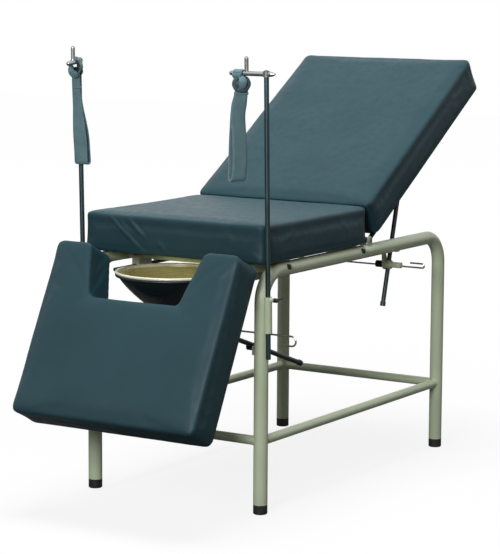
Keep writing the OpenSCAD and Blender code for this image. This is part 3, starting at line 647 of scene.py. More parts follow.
@dataclass(frozen=True)
class Outline:
    """A closed outline of straight sides with rounded corners, anticlockwise.

    Attributes:
        corners: The sharp corners, across and along the section.
        radii: The radius of each corner.
        least: The least radius that a set-in corner keeps.
    """

    corners: tuple[Span, ...]
    radii: tuple[float, ...]
    least: float = 0.003

    def ring(self, inset: float, spacing: float = 0.012) -> list[Vector]:
        """The outline set in by a distance, as points.

        Args:
            inset: How far the outline is set in from its edge.
            spacing: About how far apart the points of a straight side are.

        Returns:
            The points, with as many for every inset.
        """
        arcs = [self._arc(i, inset) for i in range(len(self.corners))]
        points = []
        for i, arc in enumerate(arcs):
            start = Vector(self.corners[i])
            end = Vector(self.corners[(i + 1) % len(arcs)])
            steps = max(2, round((end - start).length / spacing))
            points += arc
            following = arcs[(i + 1) % len(arcs)][0]
            points += [arc[-1].lerp(following, k / steps) for k in range(1, steps)]
        return points

    def _arc(self, i: int, inset: float, steps: int = 6) -> list[Vector]:
        """The points of one rounded corner of the set-in outline."""
        count = len(self.corners)
        here = Vector(self.corners[i])
        before = (here - Vector(self.corners[i - 1])).normalized()
        after = (Vector(self.corners[(i + 1) % count]) - here).normalized()
        turn = math.atan2(before.cross(after), before.dot(after))
        side = 1.0 if turn > 0 else -1.0
        radius = max(self.radii[i] - side * inset, self.least)
        left, next_left = (Vector((-v.y, v.x)) for v in (before, after))
        mitre = (left + next_left) / (1 + before.dot(after))
        start = here + inset * mitre - before * radius * math.tan(abs(turn) / 2)
        centre = start + side * radius * left
        spoke = start - centre
        return [
            centre + Matrix.Rotation(turn * k / steps, 2) @ spoke
            for k in range(steps + 1)
        ]


@dataclass(frozen=True)
class Fold:
    """A soft crease in a cover, as a ridge along a line on one side of a cushion.

    Attributes:
        start: One end of the line, in the cushion's own axes.
        end: Its other end.
        height: How far the ridge stands up, or sinks if it is negative.
        width: Half its width.
        past: How far past its ends it still shows, as a share of its length.
        taper: Where its ends lie on the half wave that it tapers by.
    """

    start: Triple
    end: Triple
    height: float
    width: float
    past: float = 0.3
    taper: Span = (0.07, 0.93)

    def lift(self, point: Vector) -> float:
        """How far the fold lifts a point of the cover."""
        start, end = Vector(self.start), Vector(self.end)
        line = end - start
        along = (point - start).dot(line) / line.length_squared
        if not -self.past < along < 1 + self.past:
            return 0.0
        foot = start + line * clamp(along)
        distance = (point - foot).length / self.width
        low, high = self.taper
        wave = math.sin(math.pi * clamp(along * (high - low) + low))
        return self.height * wave * math.exp(-distance * distance)


@dataclass
class Cushion:
    """An upholstered cushion on its board, in its section's own axes.

    Attributes:
        node: The plain solid that it stands for.
        body: The body that it rides on.
        place: The section's own axes in the frame.
        outline: Its outline in those axes.
        folds: The creases of its cover.
        fill: How tightly it is stuffed; not used.
        seed: Where its cover's unevenness is read.
        thickness: Its thickness with the board.
        edge: The radius of its upper edge.
        start_inset: How far the form is set in before it is swollen.
        foot: The inset and the height of the levels at the form's foot.
        rounding: The angles of the levels on its rounded edge, in degrees.
        crown: The inset past that edge and the height of the levels on its top.
        voxel: The size of the form's faces.
        swell: How far the cover can swell.
        held: The height up to which it is held at the board.
        rise: How far its top stands above its thickness.
        waist: How far the sides are drawn in.
        steep: The upward share of the normal below which a face counts as a side.
        calm: The height above which a cover is uneven, as a share.
        ripples: The waves to the metre and the height of the broad and small ones.
        sole: The highest that a point of the underside may lie.
        board_inset: How far the board's face is set in.
        board_rise: How far the underside is lifted over it.
        board_reach: The height up to which it is lifted.
    """

    node: str
    body: str
    place: Matrix
    outline: Outline
    folds: tuple[Fold, ...] = ()
    fill: float = 0.85
    seed: float = 0.0
    thickness: float = 0.104
    edge: float = 0.009
    start_inset: float = -0.0022
    foot: tuple[Span, ...] = ((0.006, 0.0), (0.001, 0.003), (0.0, 0.010))
    rounding: tuple[float, ...] = (0, 22, 45, 68, 90)
    crown: tuple[Span, ...] = ((0.014, 0.0012), (0.032, 0.0022))
    voxel: float = 0.006
    swell: float = 0.003
    held: float = 0.016
    rise: float = 0.001
    waist: float = 0.0022
    steep: float = 0.7
    calm: float = 0.12
    ripples: tuple[Span, Span] = ((9.0, 0.0009), (31.0, 0.00035))
    sole: float = 0.006
    board_inset: float = 0.0125
    board_rise: float = 0.0025
    board_reach: float = 0.0035

    def build(self) -> bpy.types.Object:
        """Makes the cushion: a stuffed form, swollen, creased and put in place."""
        piece = self._stuffing()
        self._swell(piece)
        smoother = piece.modifiers.new("finer", "SUBSURF")
        smoother.levels = smoother.render_levels = 1
        apply_modifiers(piece)
        self._crease(piece)
        self._recess(piece)
        piece.data.transform(self.place)
        outward_faces(piece)
        piece.data.shade_smooth()
        Finish.COVER.dress(piece)
        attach(piece, self.body)
        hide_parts(self.node)
        return piece

    def _levels(self) -> Iterable[Span]:
        """The form's levels from the bottom up, as inset and height."""
        inset, top = self.start_inset, self.thickness + self.rise
        for reach, height in self.foot:
            yield inset + reach, height
        yield inset, self.thickness * 0.4
        for angle in map(math.radians, self.rounding):
            yield (
                inset + self.edge * (1 - math.cos(angle)),
                top - self.edge * (1 - math.sin(angle)),
            )
        for reach, height in self.crown:
            yield inset + self.edge + reach, top + height

    def _stuffing(self) -> bpy.types.Object:
        """The closed form that the cover is swollen from, in even faces."""
        rings = [
            [Vector((p.x, p.y, height)) for p in self.outline.ring(inset)]
            for inset, height in self._levels()
        ]
        points = [p for ring in rings for p in ring]
        faces = tube_faces(len(rings), len(rings[0]))
        piece = mesh_piece(self.node + "_cover", points, faces)
        outward_faces(piece)
        voxels = piece.modifiers.new("even", "REMESH")
        voxels.mode = "VOXEL"
        voxels.voxel_size = self.voxel
        apply_modifiers(piece)
        even = piece.modifiers.new("ease", "SMOOTH")
        even.factor, even.iterations = 0.5, 2
        apply_modifiers(piece)
        return piece

    def _swell(self, piece: bpy.types.Object) -> None:
        """Blows the cover up a little with a cloth simulation, held at its board."""
        starts = [v.co.copy() for v in piece.data.vertices]
        held = piece.vertex_groups.new(name="held")
        held.add([i for i, p in enumerate(starts) if p.z < self.held], 1.0, "ADD")
        cloth = piece.modifiers.new("cloth", "CLOTH").settings
        cloth.quality = 5
        cloth.mass = 0.35
        cloth.use_pressure = True
        cloth.uniform_pressure_force = 4.0
        cloth.tension_stiffness = cloth.compression_stiffness = 30.0
        cloth.shear_stiffness = 12.0
        cloth.bending_stiffness = 6.0
        cloth.vertex_group_mass = "held"
        cloth.effector_weights.gravity = 0.0
        scene = bpy.context.scene
        scene.frame_start, scene.frame_end = 1, 16
        for frame in range(scene.frame_start, scene.frame_end + 1):
            scene.frame_set(frame)
        graph = bpy.context.evaluated_depsgraph_get()
        swollen = [v.co.copy() for v in piece.evaluated_get(graph).data.vertices]
        piece.modifiers.clear()
        scene.frame_set(scene.frame_start)
        for vertex, start, end in zip(piece.data.vertices, starts, swollen):
            move = end - start
            if move.length > self.swell / 50:
                move *= self.swell / (self.swell + move.length)
            vertex.co = start + move
        piece.vertex_groups.clear()

    def _crease(self, piece: bpy.types.Object) -> None:
        """Draws in the sides, lays the folds and flattens the underside."""
        (broad, broad_height), (small, small_height) = self.ripples
        skin = [(v.co.copy(), v.normal.copy()) for v in piece.data.vertices]
        for vertex, (point, normal) in zip(piece.data.vertices, skin):
            ripple = noise.noise(point * broad + Vector((self.seed, 0, 0)))
            crinkle = noise.noise(point * small + Vector((0, self.seed, 0)))
            height = clamp(point.z / self.thickness)
            lift = broad_height * ripple + small_height * crinkle
            lift += sum(fold.lift(point) for fold in self.folds)
            if abs(normal.z) < self.steep:
                lift -= self.waist * math.sin(math.pi * height)
            vertex.co = point + normal * lift * min(height / self.calm, 1.0)
            if point.z < self.sole:
                vertex.co.z = max(min(vertex.co.z, self.sole), 0.0)

    def _recess(self, piece: bpy.types.Object) -> None:
        """Lifts the underside over the board, so that the board's face shows."""
        edge = self.outline.ring(self.board_inset)
        for vertex in piece.data.vertices:
            place = vertex.co
            if place.z < self.board_reach and inside(edge, place.x, place.y):
                place.z = self.board_rise


def inside(ring: Sequence[Vector], x: float, y: float) -> bool:
    """Whether a point lies inside a closed ring of points."""
    odd = False
    for a, b in zip(ring, [*ring[1:], ring[0]]):
        if (a.y > y) != (b.y > y):
            if x < a.x + (y - a.y) / (b.y - a.y) * (b.x - a.x):
                odd = not odd
    return odd


@dataclass
class Band:
    """A flat band of webbing swept along a path.

    Attributes:
        sides: How many points run across each of its faces.
        edge: Its thickness at its edges, as a share.
    """

    name: str
    width: float
    thickness: float
    sides: int = 9
    edge: float = 0.55

    def sweep(
        self,
        path: Sequence[Vector],
        across: Sequence[Vector],
        widths: Sequence[float] = (),
        closed: bool = False,
        cup: float = 0.0,
    ) -> bpy.types.Object:
        """Makes the band.

        Args:
            path: The points along its middle.
            across: Its width's direction at each of them.
            widths: Its width at each of them, or its own width if left out.
            closed: Whether its end joins its start.
            cup: How far its middle stands out of its edges.

        Returns:
            The band, with coordinates that run across and along it.
        """
        count = len(path)
        shares = [j / (self.sides - 1) * 2 - 1 for j in range(self.sides)]
        loop = [(share, 1.0) for share in shares]
        loop += [(-share, -1.0) for share in shares]
        points: list[Vector] = []
        lengths: list[float] = []
        for k, here in enumerate(path):
            lengths.append(lengths[-1] + (here - path[k - 1]).length if k else 0.0)
            ahead = path[(k + 1) % count] if closed or k + 1 < count else here
            behind = path[k - 1] if closed or k else here
            run = (ahead - behind).normalized()
            side = across[k] - run * across[k].dot(run)
            side.normalize()
            out = run.cross(side).normalized()
            wide = (widths[k] if widths else self.width) / 2
            for share, face in loop:
                thin = self.thickness / 2 * (self.edge if abs(share) > 0.95 else 1.0)
                rise = face * thin + cup * (1 - share * share)
                points.append(here + side * wide * share + out * rise)
        piece = mesh_piece(self.name, points, tube_faces(count, len(loop), closed))
        outward_faces(piece)
        sheet = piece.data.uv_layers.new(name="band")
        for corner in piece.data.loops:
            k, j = divmod(corner.vertex_index, len(loop))
            sheet.data[corner.index].uv = (loop[j][0] * self.width / 2, lengths[k])
        Finish.WEBBING.dress(piece)
        return piece


def smooth_path(points: Sequence[Vector], steps: int) -> list[Vector]:
    """Runs a smooth line through a few points.

    Args:
        points: The points it passes.
        steps: How many steps it takes between two of them.

    Returns:
        The line's points.
    """
    line = []
    last = len(points) - 1
    for k in range(last):
        p0, p1 = points[max(k - 1, 0)], points[k]
        p2, p3 = points[k + 1], points[min(k + 2, last)]
        for t in (j / steps for j in range(steps)):
            square = (2 * p0 - 5 * p1 + 4 * p2 - p3) * t * t
            cube = (3 * p1 - p0 - 3 * p2 + p3) * t * t * t
            line.append(0.5 * (2 * p1 + (p2 - p0) * t + square + cube))
    line.append(points[last].copy())
    return line


@dataclass(frozen=True)
class Strand:
    """One strand of a knot, which runs over a ball.

    Attributes:
        width: The gathered webbing's width.
        marks: Places on the ball: the turn from the front and the rise, in
            degrees, and the distance from the middle as a share of the ball's.
        wear_and_shade: Whether it takes the darker webbing, painted shade in the knot's
            crevices.
    """

    name: str
    width: float
    marks: tuple[Triple, ...]
    wear_and_shade: bool = True


def core(name: str, turn: float) -> Strand:
    """A strand that fills the knot from inside, at a turn from its front; it takes the
    darker webbing, painted shade inside the knot.
    """
    marks = ((turn, 72, 0.72), (turn, 0, 0.78), (turn, -72, 0.72))
    return Strand(name, 0.030, marks)


BALL = (
    Strand(
        "left",
        0.015,
        (
            (-40, 82, 0.9),
            (-58, 44, 1.0),
            (-70, 4, 1.02),
            (-60, -34, 1.0),
            (-12, -72, 0.9),
        ),
    ),
    Strand(
        "right",
        0.015,
        ((40, 82, 0.9), (60, 40, 1.02), (68, 0, 1.04), (54, -38, 1.0), (12, -74, 0.9)),
    ),
    Strand(
        "tongue",
        0.021,
        ((4, 84, 0.8), (10, 50, 1.06), (14, 14, 1.20), (8, -16, 1.14), (0, -46, 0.84)),
        wear_and_shade=False,
    ),
    Strand(
        "wrap",
        0.013,
        (
            (-118, -22, 0.94),
            (-62, -42, 1.02),
            (0, -54, 1.02),
            (62, -42, 1.02),
            (118, -22, 0.94),
        ),
    ),
    Strand(
        "back", 0.030, ((180, 80, 0.9), (172, 35, 1.0), (186, -15, 1.0), (180, -70, 0.9))
    ),
    core("inner_left", -38),
    core("inner_right", 38),
    core("inner_rear_left", -120),
    core("inner_rear_right", 120),
)
TWIST = (
    Strand(
        "front",
        0.016,
        ((-70, 46, 0.96), (-42, 10, 1.02), (-8, -24, 1.0), (38, -58, 0.92)),
        wear_and_shade=False,
    ),
    Strand(
        "rear", 0.018, ((96, 40, 0.94), (124, 0, 1.0), (170, -28, 1.0), (220, -58, 0.92))
    ),
    Strand("inner", 0.024, ((190, 70, 0.55), (190, 5, 0.70), (190, -70, 0.60))),
    Strand(
        "fold",
        0.013,
        ((-84, 66, 1.05), (-78, 22, 1.12), (-50, -24, 1.08), (-6, -66, 1.0)),
        wear_and_shade=False,
    ),
)


@dataclass(frozen=True)
class Hitch:
    """How the webbing is gathered round its bar and sewn below it.

    Attributes:
        facing: The turn of the gathered part about the upright, in degrees.
        spread: How far apart the two turns round the bar lie.
        turn_width: The gathered width of one turn.
        hang: How far the turns hang below the bar.
        slack: How far the turns stand off the bar.
        shift: How far the knot sits along the bar from the turns.
        ball_depth: How far below the bar the knot's middle lies.
        ball: The knot's radius.
        strands: The knot's strands.
        top: How far below the bar the two flat layers start.
        collar_depth: How far below the bar the sewn collar lies.
        collar_half: Half the width of the neck inside the collar.
        full_depth: Where the webbing below the collar has its full width again.
    """

    facing: float
    spread: float
    turn_width: float
    hang: float
    slack: float
    shift: float
    ball_depth: float
    ball: float
    strands: tuple[Strand, ...]
    top: float
    collar_depth: float
    collar_half: float
    full_depth: float


def circle(count: int) -> list[float]:
    """That many angles, evenly round a circle."""
    return [2 * math.pi * k / count for k in range(count)]


@dataclass
class AnkleStrap:
    """A webbing loop hitched round its bar, with the knot that the hitch makes.

    Attributes:
        side: "right" or "left".
        bar: The middle of the hitch on the bar's own line.
        bar_way: The bar's direction.
        drop: The length below the bar's line.
        face: The turn of the loop's flat face about the upright, in degrees.
        gape: How far apart the two layers hang at the bottom.
        sway: How far the loop's bottom hangs aside.
        hitch: How it is gathered at the top.
        layer: The thickness of one flat layer.
        unwind: The depth below the collar over which the loop turns to its face.
        settle: The share of its length over which it comes back under the bar.
        belly: How far the front layer bows aside on its way down.
        back_belly: How much of that the rear layer bows.
        opened: Where the layers are fully apart, as a share of the drop.
        turn_layer: The thickness of a gathered turn.
        turn_cup: How far its middle stands out.
        turn_bulge: How much wider it is below the bar.
        turn_pinch: How much closer the two turns come there.
        strand_layer: The thickness of a knot's strand.
        strand_cup: How far its middle stands out.
        strand_end: Its width at its ends, as a share.
        collar_size: The collar's height and thickness.
        collar_room: How far the collar stands off the neck's edge.
        collar_front: How far it stands in front of the neck's middle.
    """

    side: str
    bar: Vector
    bar_way: Vector
    drop: float
    face: float
    gape: float
    sway: Vector
    hitch: Hitch
    width: float = 0.040
    layer: float = 0.0024
    bar_radius: float = 0.0065
    unwind: float = 0.07
    settle: float = 0.3
    belly: float = 0.0022
    back_belly: float = 0.4
    opened: float = 0.8
    turn_layer: float = 0.0030
    turn_cup: float = 0.0012
    turn_bulge: float = 0.55
    turn_pinch: float = 0.35
    strand_layer: float = 0.0042
    strand_cup: float = 0.0036
    strand_end: float = 0.68
    collar_size: Span = (0.006, 0.002)
    collar_room: float = 0.0008
    collar_front: float = 0.0052

    def build(self) -> None:
        """Makes the loop, the hitch and the sewn collar, and puts them on the bar."""
        loop = self._loop()
        collar = self._collar()
        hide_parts(f"strap_{self.side}")
        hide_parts(f"strap_keeper_{self.side}")
        knot = (self._strand(strand) for strand in self.hitch.strands)
        for piece in (loop, collar, *self._turns(), *knot):
            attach(piece, f"strap_{self.side}")

    def _axes(self, degrees: float) -> tuple[Vector, Vector]:
        """The width direction and the facing direction at a turn."""
        angle = math.radians(degrees)
        return (
            Vector((math.cos(angle), math.sin(angle), 0)),
            Vector((math.sin(angle), -math.cos(angle), 0)),
        )

    def _share(self, depth: float, start: float, end: float) -> float:
        """How far a depth lies between two others, eased at both."""
        share = clamp((depth - start) / (end - start))
        return share * share * (3 - 2 * share)

    def _place(self, depth: float) -> tuple[Vector, Vector, Vector, float]:
        """Where the flat layers hang at a depth.

        Args:
            depth: How far below the bar's line.

        Returns:
            The middle between them, their width's direction, the direction that they
            face, and how far down they are as a share.
        """
        hitch = self.hitch
        share = self._share(depth, hitch.top, hitch.collar_depth + self.unwind)
        wide, front = self._axes(hitch.facing + (self.face - hitch.facing) * share)
        along = (depth - hitch.top) / (self.drop - hitch.top)
        middle = self.bar + self.sway * along - UP * depth
        middle += wide * hitch.shift * (1 - self._share(along, 0.0, self.settle))
        return middle, wide, front, along

    def _loop(self, steps: int = 40, bends: int = 12) -> bpy.types.Object:
        """The long hanging loop of two layers, joined round its bottom."""
        hitch = self.hitch
        radius = self.gape / 2
        low = self.drop - radius
        stations: list[Span] = []
        for k in range(steps + 1):
            depth = hitch.top + (low - hitch.top) * k / steps
            apart = self._share(depth, hitch.collar_depth, low * self.opened)
            stations.append((depth, max(self.layer * 0.9, radius * apart)))
        bottom = [
            (low + radius * math.sin(a), radius * math.cos(a))
            for a in (math.pi * k / bends for k in range(1, bends))
        ]
        back = [(depth, -offset) for depth, offset in reversed(stations)]
        path, across, widths = [], [], []
        neck = 2 * hitch.collar_half / self.width
        for depth, offset in (*stations, *bottom, *back):
            middle, wide, front, along = self._place(depth)
            bow = self.belly * math.sin(2 * math.pi * along)
            bow *= 1 if offset > 0 else self.back_belly
            path.append(middle - wide * bow + front * offset)
            across.append(wide)
            full = self._share(depth, hitch.collar_depth, hitch.full_depth)
            widths.append(self.width * (neck + (1 - neck) * full))
        band = Band(f"ankle_loop_{self.side}", self.width, self.layer)
        return band.sweep(path, across, widths)

    def _turns(self, count: int = 32) -> Iterable[bpy.types.Object]:
        """The two gathered turns round the bar, drawn down into the knot."""
        hitch = self.hitch
        bar = self.bar_way.normalized()
        out = UP.cross(bar).normalized()
        reach = self.bar_radius + self.turn_layer / 2 + hitch.slack
        for number, hand in enumerate((-1, 1)):
            path = []
            for angle in circle(count):
                below = max(0.0, -math.sin(angle))
                fall = max(reach, hitch.hang) * below
                rise = reach * max(0.0, math.sin(angle)) - fall
                wave = math.sin(math.pi * min(below * 1.1, 1.0))
                swell = 1 + self.turn_bulge * wave
                path.append(
                    self.bar
                    + bar * hand * hitch.spread * (1 - self.turn_pinch * below)
                    + out * reach * swell * math.cos(angle)
                    + UP * rise
                )
            name = f"hitch_turn_{self.side}_{number + 1}"
            band = Band(name, hitch.turn_width, self.turn_layer)
            yield band.sweep(path, [bar] * count, closed=True, cup=self.turn_cup)

    def _strand(self, strand: Strand) -> bpy.types.Object:
        """One strand of the knot, which faces away from the knot's middle."""
        hitch = self.hitch
        wide, front = self._axes(hitch.facing)
        centre = self.bar + wide * hitch.shift - UP * hitch.ball_depth
        marks = []
        for turn, rise, share in strand.marks:
            around, climb = math.radians(turn), math.radians(rise)
            flat = wide * math.sin(around) + front * math.cos(around)
            way = flat * math.cos(climb) + UP * math.sin(climb)
            marks.append(centre + way * hitch.ball * share)
        path = smooth_path(marks, steps=6)
        last = len(path) - 1
        across, widths = [], []
        for k, point in enumerate(path):
            run = path[min(k + 1, last)] - path[max(k - 1, 0)]
            across.append((point - centre).cross(run).normalized())
            full = math.sin(math.pi * k / last)
            widths.append(strand.width * (self.strand_end + (1 - self.strand_end) * full))
        name = f"knot_{strand.name}_{self.side}"
        band = Band(name, strand.width, self.strand_layer)
        piece = band.sweep(path, across, widths, cup=self.strand_cup)
        # The darker webbing is painted shade on the knot's outer and inner strands.
        if strand.wear_and_shade:
            Finish.SHADED_WEBBING.dress(piece)
        return piece

    def _collar(self, count: int = 32) -> bpy.types.Object:
        """The sewn collar that closes the neck under the hitch."""
        middle, wide, front, _ = self._place(self.hitch.collar_depth)
        half = self.hitch.collar_half + self.collar_room
        path = [
            middle + wide * half * math.cos(a) + front * self.collar_front * math.sin(a)
            for a in circle(count)
        ]
        band = Band(f"sewn_collar_{self.side}", *self.collar_size)
        return band.sweep(path, [UP] * count, closed=True)


@dataclass(frozen=True)
class WeldBead:
    """The bead where a lower stretcher is welded to the side of an upright leg.

    Attributes:
        middle: Where the two tubes' lines meet.
        way: The stretcher's direction, away from the leg.
        bead: The bead's own radius.
        ripples: The steps in radians and the heights of its unevenness.
        rings: How many rings of points it has.
        around: How many points each ring has.
    """

    name: str
    middle: Vector
    way: Vector
    bead: float = 0.0021
    ripples: tuple[Span, Span] = ((2.6, 0.12), (5.3, 0.08))
    rings: int = 48
    around: int = 8

    def build(self, body: str) -> None:
        """Makes the bead and puts it on a body."""
        side = self.way.cross(UP).normalized()
        centres = []
        for angle in circle(self.rings):
            across = STRETCHER_RADIUS * math.cos(angle)
            out = math.sqrt(LEG_RADIUS**2 - across**2)
            edge = side * across + self.way * out
            edge += UP * STRETCHER_RADIUS * math.sin(angle)
            centres.append(self.middle + edge)
        points = []
        for k, centre in enumerate(centres):
            run = (centres[(k + 1) % self.rings] - centres[k - 1]).normalized()
            first = self.way - run * self.way.dot(run)
            first.normalize()
            second = run.cross(first)
            uneven = sum(height * math.sin(k * step) for step, height in self.ripples)
            size = self.bead * (1 + uneven)
            points += [
                centre + size * (first * math.cos(a) + second * math.sin(a))
                for a in circle(self.around)
            ]
        faces = tube_faces(self.rings, self.around, closed=True)
        piece = mesh_piece(self.name, points, faces)
        outward_faces(piece)
        Finish.PAINT.dress(piece)
        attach(piece, body)


SEAT_FOLDS = (
    Fold((-0.205, 0.0, 0.100), (-0.088, 0.0, 0.007), 0.0034, 0.0065),
    Fold((-0.191, 0.0, 0.096), (-0.076, 0.0, 0.008), -0.0024, 0.0055),
    Fold((-0.173, 0.0, 0.090), (-0.122, 0.0, 0.042), 0.0024, 0.0055),
    Fold((-0.140, 0.0, 0.092), (-0.083, 0.0, 0.047), 0.0034, 0.0065),
    Fold((-0.127, 0.0, 0.090), (-0.072, 0.0, 0.046), -0.0022, 0.0055),
    Fold((-0.045, 0.0, 0.040), (-0.018, 0.0, 0.012), 0.0022, 0.0080),
    Fold((-0.250, 0.02, 0.104), (0.250, 0.03, 0.104), 0.0012, 0.022),
    Fold((-0.150, 0.10, 0.106), (0.120, 0.34, 0.108), 0.0012, 0.040),
)
RIGHT_HITCH = Hitch(
    facing=30.0,
    spread=0.0066,
    turn_width=0.0150,
    hang=0.016,
    slack=0.0004,
    shift=0.0065,
    ball_depth=0.0270,
    ball=0.0195,
    strands=BALL,
    top=0.042,
    collar_depth=0.052,
    collar_half=0.0170,
    full_depth=0.088,
)
LEFT_HITCH = Hitch(
    facing=32.0,
    spread=0.0062,
    turn_width=0.013,
    hang=0.038,
    slack=0.0030,
    shift=0.0,
    ball_depth=0.0260,
    ball=0.0150,
    strands=TWIST,
    top=0.032,
    collar_depth=0.068,
    collar_half=0.0110,
    full_depth=0.210,
)


def both(names: str) -> str:
    """The names, each with _right and with _left behind it."""
    sides = ("right", "left")
    return " ".join(f"{name}_{side}" for name in names.split() for side in sides)


NODES = {
    Finish.PAINT: both("side_frame back_hanger leg_hanger back_clamp leg_clamp socket")
    + " side_stretchers cross_stretchers front_cross_tube rear_cross_tube"
    + " back_hinge_ears leg_hinge_arms",
    Finish.RUBBER: both("foot_front foot_rear"),
    Finish.BOARD: "seat_board back_board leg_board",
    Finish.BAR: both("back_strut leg_strut socket_screw")
    + " seat_frame back_frame leg_frame rail_bolts basin_carrier",
    Finish.PLATED: "seat_screws back_screws leg_screws back_hinge_pins leg_hinge_pins"
    + " back_release_wire leg_release_wire",
    Finish.POLE: both("pole"),
    Finish.CROSS_BAR: both("cross_bar"),
    Finish.BASIN: "basin",
    Finish.KNOB: "back_knobs leg_knobs",
    Finish.GUIDE: "basin_guides",
}
NODE_FINISH = {name: finish for finish in NODES for name in NODES[finish].split()}


@dataclass
class Table:
    """The whole table: its own sizes, and its sub-assemblies in order."""

    pad_half: float = 0.2875
    corner: float = 0.018
    seat_z: float = 0.6632
    seat_front: float = -0.021
    seat_length: float = 0.547
    back_pivot: Span = (0.552, 0.671)
    back_angle: float = 32.0
    back_gap: float = 0.033
    back_drop: float = 0.0054
    back_length: float = 0.728
    leg_pivot: Span = (-0.033, 0.652)
    leg_angle: float = 63.5
    leg_rise: float = 0.0125
    leg_length: float = 0.483
    cut_mouth: float = 0.182
    cut_mouth_corner: float = 0.020
    cut_floor: float = 0.140
    cut_floor_corner: float = 0.008
    cut_depth: float = 0.148
    side_x: float = 0.269
    frame_length: float = 0.990
    stretcher_z: float = 0.195

    def __post_init__(self) -> None:
        """Finds where the front legs stand in the frame's own axes."""
        low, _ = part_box("side_frame_right")
        self.front_y = low.y + LEG_RADIUS

    def at(self, x: float, y: float, z: float) -> Vector:
        """A point whose Y is measured from the front legs."""
        return Vector((x, y + self.front_y, z))

    def hinged(self, pivot: Span, angle: float) -> Matrix:
        """The axes of a section that is hinged across the table."""
        return Matrix.Translation(self.at(0, *pivot)) @ Matrix.Rotation(
            math.radians(angle), 4, "X"
        )

    def box_outline(self, length: float) -> Outline:
        """The plain outline of a cushion of that length."""
        half = self.pad_half
        corners = ((-half, 0.0), (half, 0.0), (half, length), (-half, length))
        return Outline(corners, (self.corner,) * 4)

    def leg_outline(self) -> Outline:
        """The leg cushion's outline, with its cut-out."""
        half, length = self.pad_half, self.leg_length
        right = (
            ((half, -length), self.corner),
            ((half, 0.0), self.corner),
            ((self.cut_mouth, 0.0), self.cut_mouth_corner),
            ((self.cut_floor, -self.cut_depth), self.cut_floor_corner),
        )
        left = [((-x, y), radius) for (x, y), radius in reversed(right)]
        corners, radii = zip(left[-1], *right, *left[:-1])
        return Outline(corners, radii)

    def cushions(self) -> Iterable[Cushion]:
        """The three cushions."""
        yield Cushion(
            "seat_pad",
            "frame",
            Matrix.Translation(self.at(0, self.seat_front, self.seat_z)),
            self.box_outline(self.seat_length),
            folds=SEAT_FOLDS,
            fill=0.75,
            seed=3.1,
        )
        yield Cushion(
            "back_pad",
            "back_section",
            self.hinged(self.back_pivot, self.back_angle)
            @ Matrix.Translation((0, self.back_gap, -self.back_drop)),
            self.box_outline(self.back_length),
            seed=8.7,
        )
        yield Cushion(
            "leg_pad",
            "leg_section",
            self.hinged(self.leg_pivot, self.leg_angle)
            @ Matrix.Translation((0, 0, self.leg_rise)),
            self.leg_outline(),
            seed=14.2,
        )

    def straps(self, joints: Sequence[dict]) -> Iterable[AnkleStrap]:
        """The two ankle straps.

        Args:
            joints: The frame's joints, which say where the straps' bars are.

        Yields:
            The right strap and the left one.
        """
        bars = {
            joint["name"]: (Vector(joint["pos_m"]), Vector(joint["axis"]))
            for joint in joints
            if joint["name"].startswith("strap_swing")
        }
        middle, way = bars["strap_swing_right"]
        yield AnkleStrap(
            "right",
            middle - way * 0.004,
            way,
            drop=0.278,
            face=58.0,
            gape=0.024,
            sway=Vector((-0.003, -0.004, 0.0)),
            hitch=RIGHT_HITCH,
        )
        yield AnkleStrap(
            "left",
            *bars["strap_swing_left"],
            drop=0.274,
            face=6.0,
            gape=0.018,
            sway=Vector((0.015, 0.009, 0.0)),
            hitch=LEFT_HITCH,
        )

    def welds(self) -> Iterable[WeldBead]:
        """The beads where the lower stretchers meet the legs."""
        for side, hand in ((1, "right"), (-1, "left")):
            for y, way, end in ((0.0, 1, "front"), (self.frame_length, -1, "rear")):
                middle = self.at(side * self.side_x, y, self.stretcher_z)
                name = f"weld_{end}_{hand}"
                yield WeldBead(f"{name}_side", middle, Vector((0, way, 0)))
                yield WeldBead(f"{name}_cross", middle, Vector((-side, 0, 0)))

    def build(self, frame: dict) -> None:
        """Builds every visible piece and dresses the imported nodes.
        """
        for cushion in self.cushions():
            piece = cushion.build()
            LOG.info("%s: %d faces", piece.name, len(piece.data.polygons))
        for strap in self.straps(frame["joints"]):
            strap.build()
            LOG.info("ankle strap, %s side", strap.side)
        for weld in self.welds():
            weld.build("frame")
        LOG.info("weld beads")
        shown = [name for name, node in frame["nodes"].items() if not node.hide_render]
        for name in shown:
            NODE_FINISH[name].dress(frame["nodes"][name])
        LOG.info("%d nodes dressed", len(shown))


@dataclass(frozen=True)
class Camera:
    """The camera at the photograph's place.

    Attributes:
        place: Its place, with Y measured from the front legs.
        yaw: Its turn towards -X from +Y, in radians.
        pitch: How far it looks down.
        focal: The focal length in pixels.
        long_side: The picture's longer side in pixels.
        sensor: The sensor's longer side in millimetres.
    """

    place: Triple = (3.2613, -4.7880, 1.4316)
    yaw: float = 0.5640
    pitch: float = 0.1410
    roll: float = 0.0060
    focal: float = 2195.8
    long_side: float = 554.0
    sensor: float = 36.0

    def build(self, table: Table) -> None:
        """Makes the camera and makes it the scene's own.

        Args:
            table: The table, which says where the front legs stand.
        """
        data = bpy.data.cameras.new("camera")
        data.sensor_width = self.sensor
        data.sensor_fit = "AUTO"
        data.lens = self.focal / self.long_side * self.sensor
        data.clip_end = 100.0
        camera = bpy.data.objects.new("camera", data)
        bpy.context.scene.collection.objects.link(camera)
        camera.matrix_world = (
            Matrix.Translation(table.at(*self.place))
            @ Matrix.Rotation(self.yaw, 4, "Z")
            @ Matrix.Rotation(math.pi / 2 - self.pitch, 4, "X")
            @ Matrix.Rotation(self.roll, 4, "Z")
        )
        bpy.context.scene.camera = camera


